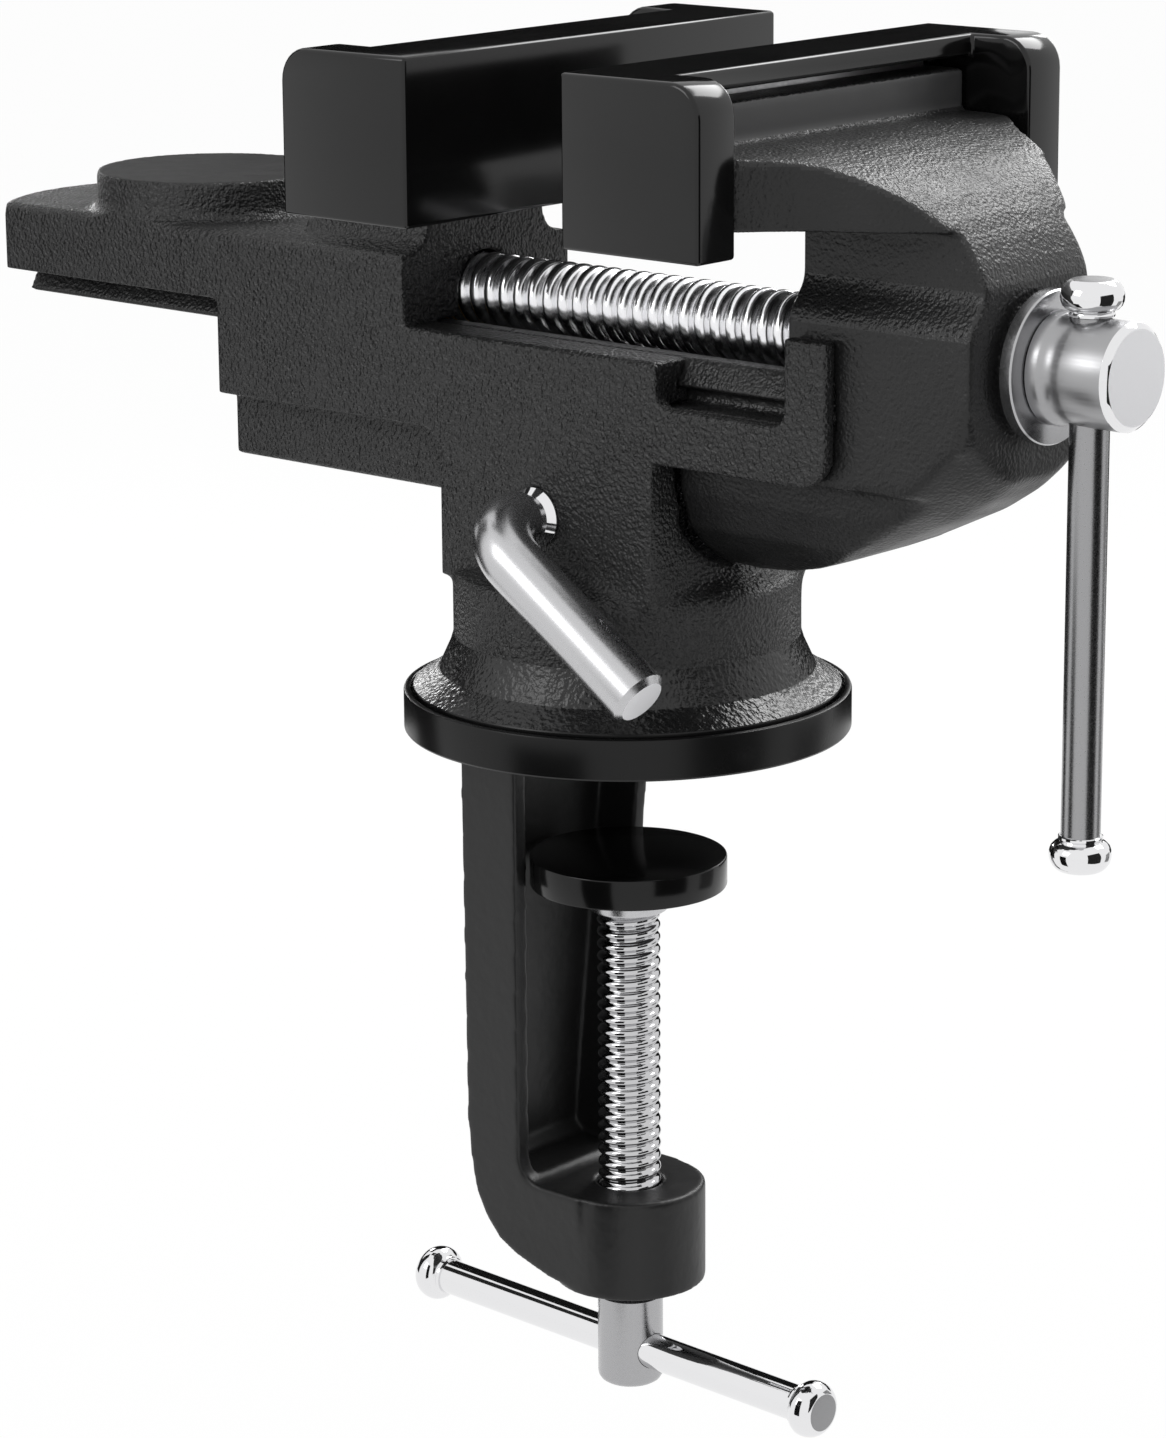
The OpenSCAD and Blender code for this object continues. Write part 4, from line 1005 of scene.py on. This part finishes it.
@dataclass(frozen=True)
class Lamp:
    """A soft rectangular lamp, with its power in watts and the point that it looks at."""

    name: str
    place: Point3
    power: float
    size: Point2
    aim: Point3 = (0.0, 0.0, 0.02)

    def build(self) -> None:
        """Hangs the lamp and aims it."""
        data = bpy.data.lights.new(self.name, "AREA")
        data.shape = "RECTANGLE"
        data.size, data.size_y = self.size
        data.energy = self.power
        lamp = bpy.data.objects.new(self.name, data)
        bpy.context.scene.collection.objects.link(lamp)
        lamp.location = self.place
        lamp.rotation_euler = (Vector(self.aim) - Vector(self.place)).to_track_quat("-Z", "Y").to_euler()


@dataclass(frozen=True)
class Card:
    """An upright card that only reflections show, with its normal's azimuth in degrees and its grey."""

    name: str
    place: Point3
    azimuth: float
    size: Point2
    shade: float = 0.01

    @classmethod
    def around(cls, name: str, azimuth: float, reach: float, levels: Point2, shade: float = 0.01,
               distance: float = 0.32) -> "Card":
        """Makes a card that faces the vise from a distance.

        Args:
            name: The card's name.
            azimuth: The direction of its middle from the vise, in degrees from +X.
            reach: Half of the angle that it covers, in degrees.
            levels: The heights of its lower and upper edge.
            shade: Its grey.
            distance: How far it is from the swivel axis.

        Returns:
            The card.
        """
        place = (distance * math.cos(math.radians(azimuth)), distance * math.sin(math.radians(azimuth)),
                 sum(levels) / 2)
        width = 2 * distance * math.tan(math.radians(reach))
        return cls(name, place, azimuth, (width, levels[1] - levels[0]), shade)

    def build(self) -> None:
        """Stands the card, and hides it from the camera, from diffuse light and from shadows."""
        Workbench.clear()
        bpy.ops.mesh.primitive_plane_add(size=1.0)
        card = bpy.context.active_object
        card.name = self.name
        width, height = self.size
        card.matrix_world = (Matrix.Translation(self.place)
                             @ (Matrix.Rotation(math.radians(self.azimuth + 90), 4, "Z")
                                @ Matrix.Rotation(math.pi / 2, 4, "X"))
                             @ Matrix.Diagonal((width, height, 1.0, 1.0)))
        Workbench.settle(card)
        card.data.materials.append(matt_material(f"{self.name}_grey", self.shade)[0])
        card.visible_camera = False
        card.visible_diffuse = False
        card.visible_shadow = False


@dataclass
class Studio:
    """Camera, world, floor, lamps and cards.

    Attributes:
        floor_z: The floor's level, under the lowest pose of the clamp screw.
        floor_glow: Share of plain white in what the camera sees of the floor. The rest takes the shadow.
        world_light: Strength of the world's light on the vise.
    """

    eye: Point3 = (0.43892, -0.50606, 0.17593)
    forward: Point3 = (-0.641405, 0.724276, -0.253028)
    upward: Point3 = (-0.162431, 0.194130, 0.967435)
    lens: float = 112.29
    sensor: float = 36.0
    nearest: float = 0.01
    farthest: float = 50.0
    floor_z: float = -0.16
    floor_size: float = 6.0
    floor_shade: float = 0.8
    floor_glow: float = 0.95
    world_light: float = 0.75
    lamps: tuple[Lamp, ...] = (
        Lamp("back_lamp", (0.05, 0.85, 0.85), 6.5, (0.7, 0.4)),
        Lamp("key_lamp", (-0.35, -0.95, 0.6), 2.5, (0.5, 0.5)),
        Lamp("strip_left", (-0.85, 0.47, 0.27), 1.2, (0.15, 0.3)),
        Lamp("strip_right", (-0.31, 0.9, 0.35), 0.7, (0.12, 0.3)),
    )
    cards: tuple[Card, ...] = (
        Card.around("card_back_low", 132.0, 56.0, (-0.085, 0.03)),
        Card.around("card_back_mid", 131.5, 15.0, (-0.085, 0.26)),
        Card.around("card_back_rear", 156.0, 10.0, (0.105, 0.26)),
        Card.around("card_right", 0.0, 20.0, (-0.134, 0.15), shade=0.02),
        Card.around("card_left", 192.0, 12.0, (-0.134, 0.3), shade=0.02),
        Card.around("card_side", 51.0, 12.0, (-0.134, 0.0), shade=0.3),
        Card("card_near", (0.013, -0.12, -0.063), -90.0, (0.074, 0.134)),
    )

    def camera(self) -> None:
        """Sets the camera at the photograph's viewpoint."""
        data = bpy.data.cameras.new("photo_camera")
        data.lens = self.lens
        data.sensor_width = self.sensor
        data.sensor_fit = "AUTO"
        data.clip_start = self.nearest
        data.clip_end = self.farthest
        camera = bpy.data.objects.new("photo_camera", data)
        bpy.context.scene.collection.objects.link(camera)
        forward = Vector(self.forward).normalized()
        right = forward.cross(Vector(self.upward)).normalized()
        up = right.cross(forward)
        turn = Matrix((right, up, -forward)).transposed().to_4x4()
        camera.matrix_world = Matrix.Translation(self.eye) @ turn
        bpy.context.scene.camera = camera

    def world(self) -> None:
        """Makes an even pale world that shows as white to the camera and in reflections."""
        world = bpy.data.worlds.new("studio_world")
        world.use_nodes = True
        bpy.context.scene.world = world
        nodes, links = world.node_tree.nodes, world.node_tree.links
        back = nodes["Background"]
        back.inputs["Color"].default_value = (1.0, 1.0, 1.0, 1.0)
        pick = nodes.new("ShaderNodeMapRange")
        pick.inputs["To Min"].default_value = self.world_light
        pick.inputs["To Max"].default_value = 1.0
        links.new(self.shown(world.node_tree), pick.inputs["Value"])
        links.new(pick.outputs["Result"], back.inputs["Strength"])

    @staticmethod
    def shown(tree: bpy.types.NodeTree) -> bpy.types.NodeSocket:
        """Adds up the rays that show the background: from the camera, a reflection or glass.

        Args:
            tree: The node tree of the world or of a material.

        Returns:
            A socket that is 1 for such a ray.
        """
        rays = tree.nodes.new("ShaderNodeLightPath")
        total = rays.outputs["Is Camera Ray"]
        for label in ("Is Glossy Ray", "Is Transmission Ray"):
            both = tree.nodes.new("ShaderNodeMath")
            both.operation = "MAXIMUM"
            tree.links.new(total, both.inputs[0])
            tree.links.new(rays.outputs[label], both.inputs[1])
            total = both.outputs[0]
        return total

    def floor(self) -> None:
        """Lays a plain pale floor under the vise."""
        Workbench.clear()
        bpy.ops.mesh.primitive_plane_add(size=self.floor_size, location=(0, 0, self.floor_z))
        floor = bpy.context.active_object
        floor.name = "studio_floor"
        material, shader = matt_material("studio_floor_white", self.floor_shade)
        nodes, links = material.node_tree.nodes, material.node_tree.links
        glow = nodes.new("ShaderNodeEmission")
        mix = nodes.new("ShaderNodeMixShader")
        share = nodes.new("ShaderNodeMath")
        share.operation = "MULTIPLY"
        share.inputs[1].default_value = self.floor_glow
        links.new(self.shown(material.node_tree), share.inputs[0])
        links.new(share.outputs[0], mix.inputs["Fac"])
        links.new(shader.outputs[0], mix.inputs[1])
        links.new(glow.outputs[0], mix.inputs[2])
        out = next(n for n in nodes if n.type == "OUTPUT_MATERIAL")
        links.new(mix.outputs[0], out.inputs["Surface"])
        floor.data.materials.append(material)

    def build(self) -> None:
        """Builds the whole studio."""
        bpy.context.scene.view_settings.view_transform = "Standard"
        self.camera()
        self.world()
        self.floor()
        for fitting in (*self.lamps, *self.cards):
            fitting.build()


def bars() -> tuple[LooseBar, LooseBar]:
    """Sets out the handle, which hangs down, and the tommy bar, which lies a little off its middle."""
    handle_z, handle_length = 35.25, 74.5
    tommy_shift, tommy_length = -2.7, 77.0
    turn = math.radians(TOMMY_TURN)
    tommy_middle = (tommy_shift * math.cos(turn), tommy_shift * math.sin(turn), TOMMY_Z)
    handle = LooseBar("handle", Body.HANDLE, (HANDLE_X, 0.0, handle_z), handle_length, Axis.Z,
                      Finish.BAR, "handle_bar", "handle_knobs")
    tommy = LooseBar("tommy", Body.TOMMY_BAR, tommy_middle, tommy_length, Axis.X,
                     Finish.CHROME, "tommy_bar", "tommy_bar_knobs", TOMMY_TURN)
    return handle, tommy


def main() -> None:
    """Builds the vise piece by piece and reports each."""
    logging.basicConfig(level=logging.INFO, format="%(name)s: %(message)s")
    Studio().build()
    dresser = Dresser()
    dresser.prepare()
    for assembly in (Castings(), MainScrew(), ClampScrew(), *bars(), SolidPieces()):
        assembly.build(dresser)


if __name__ == "__main__":
    main()
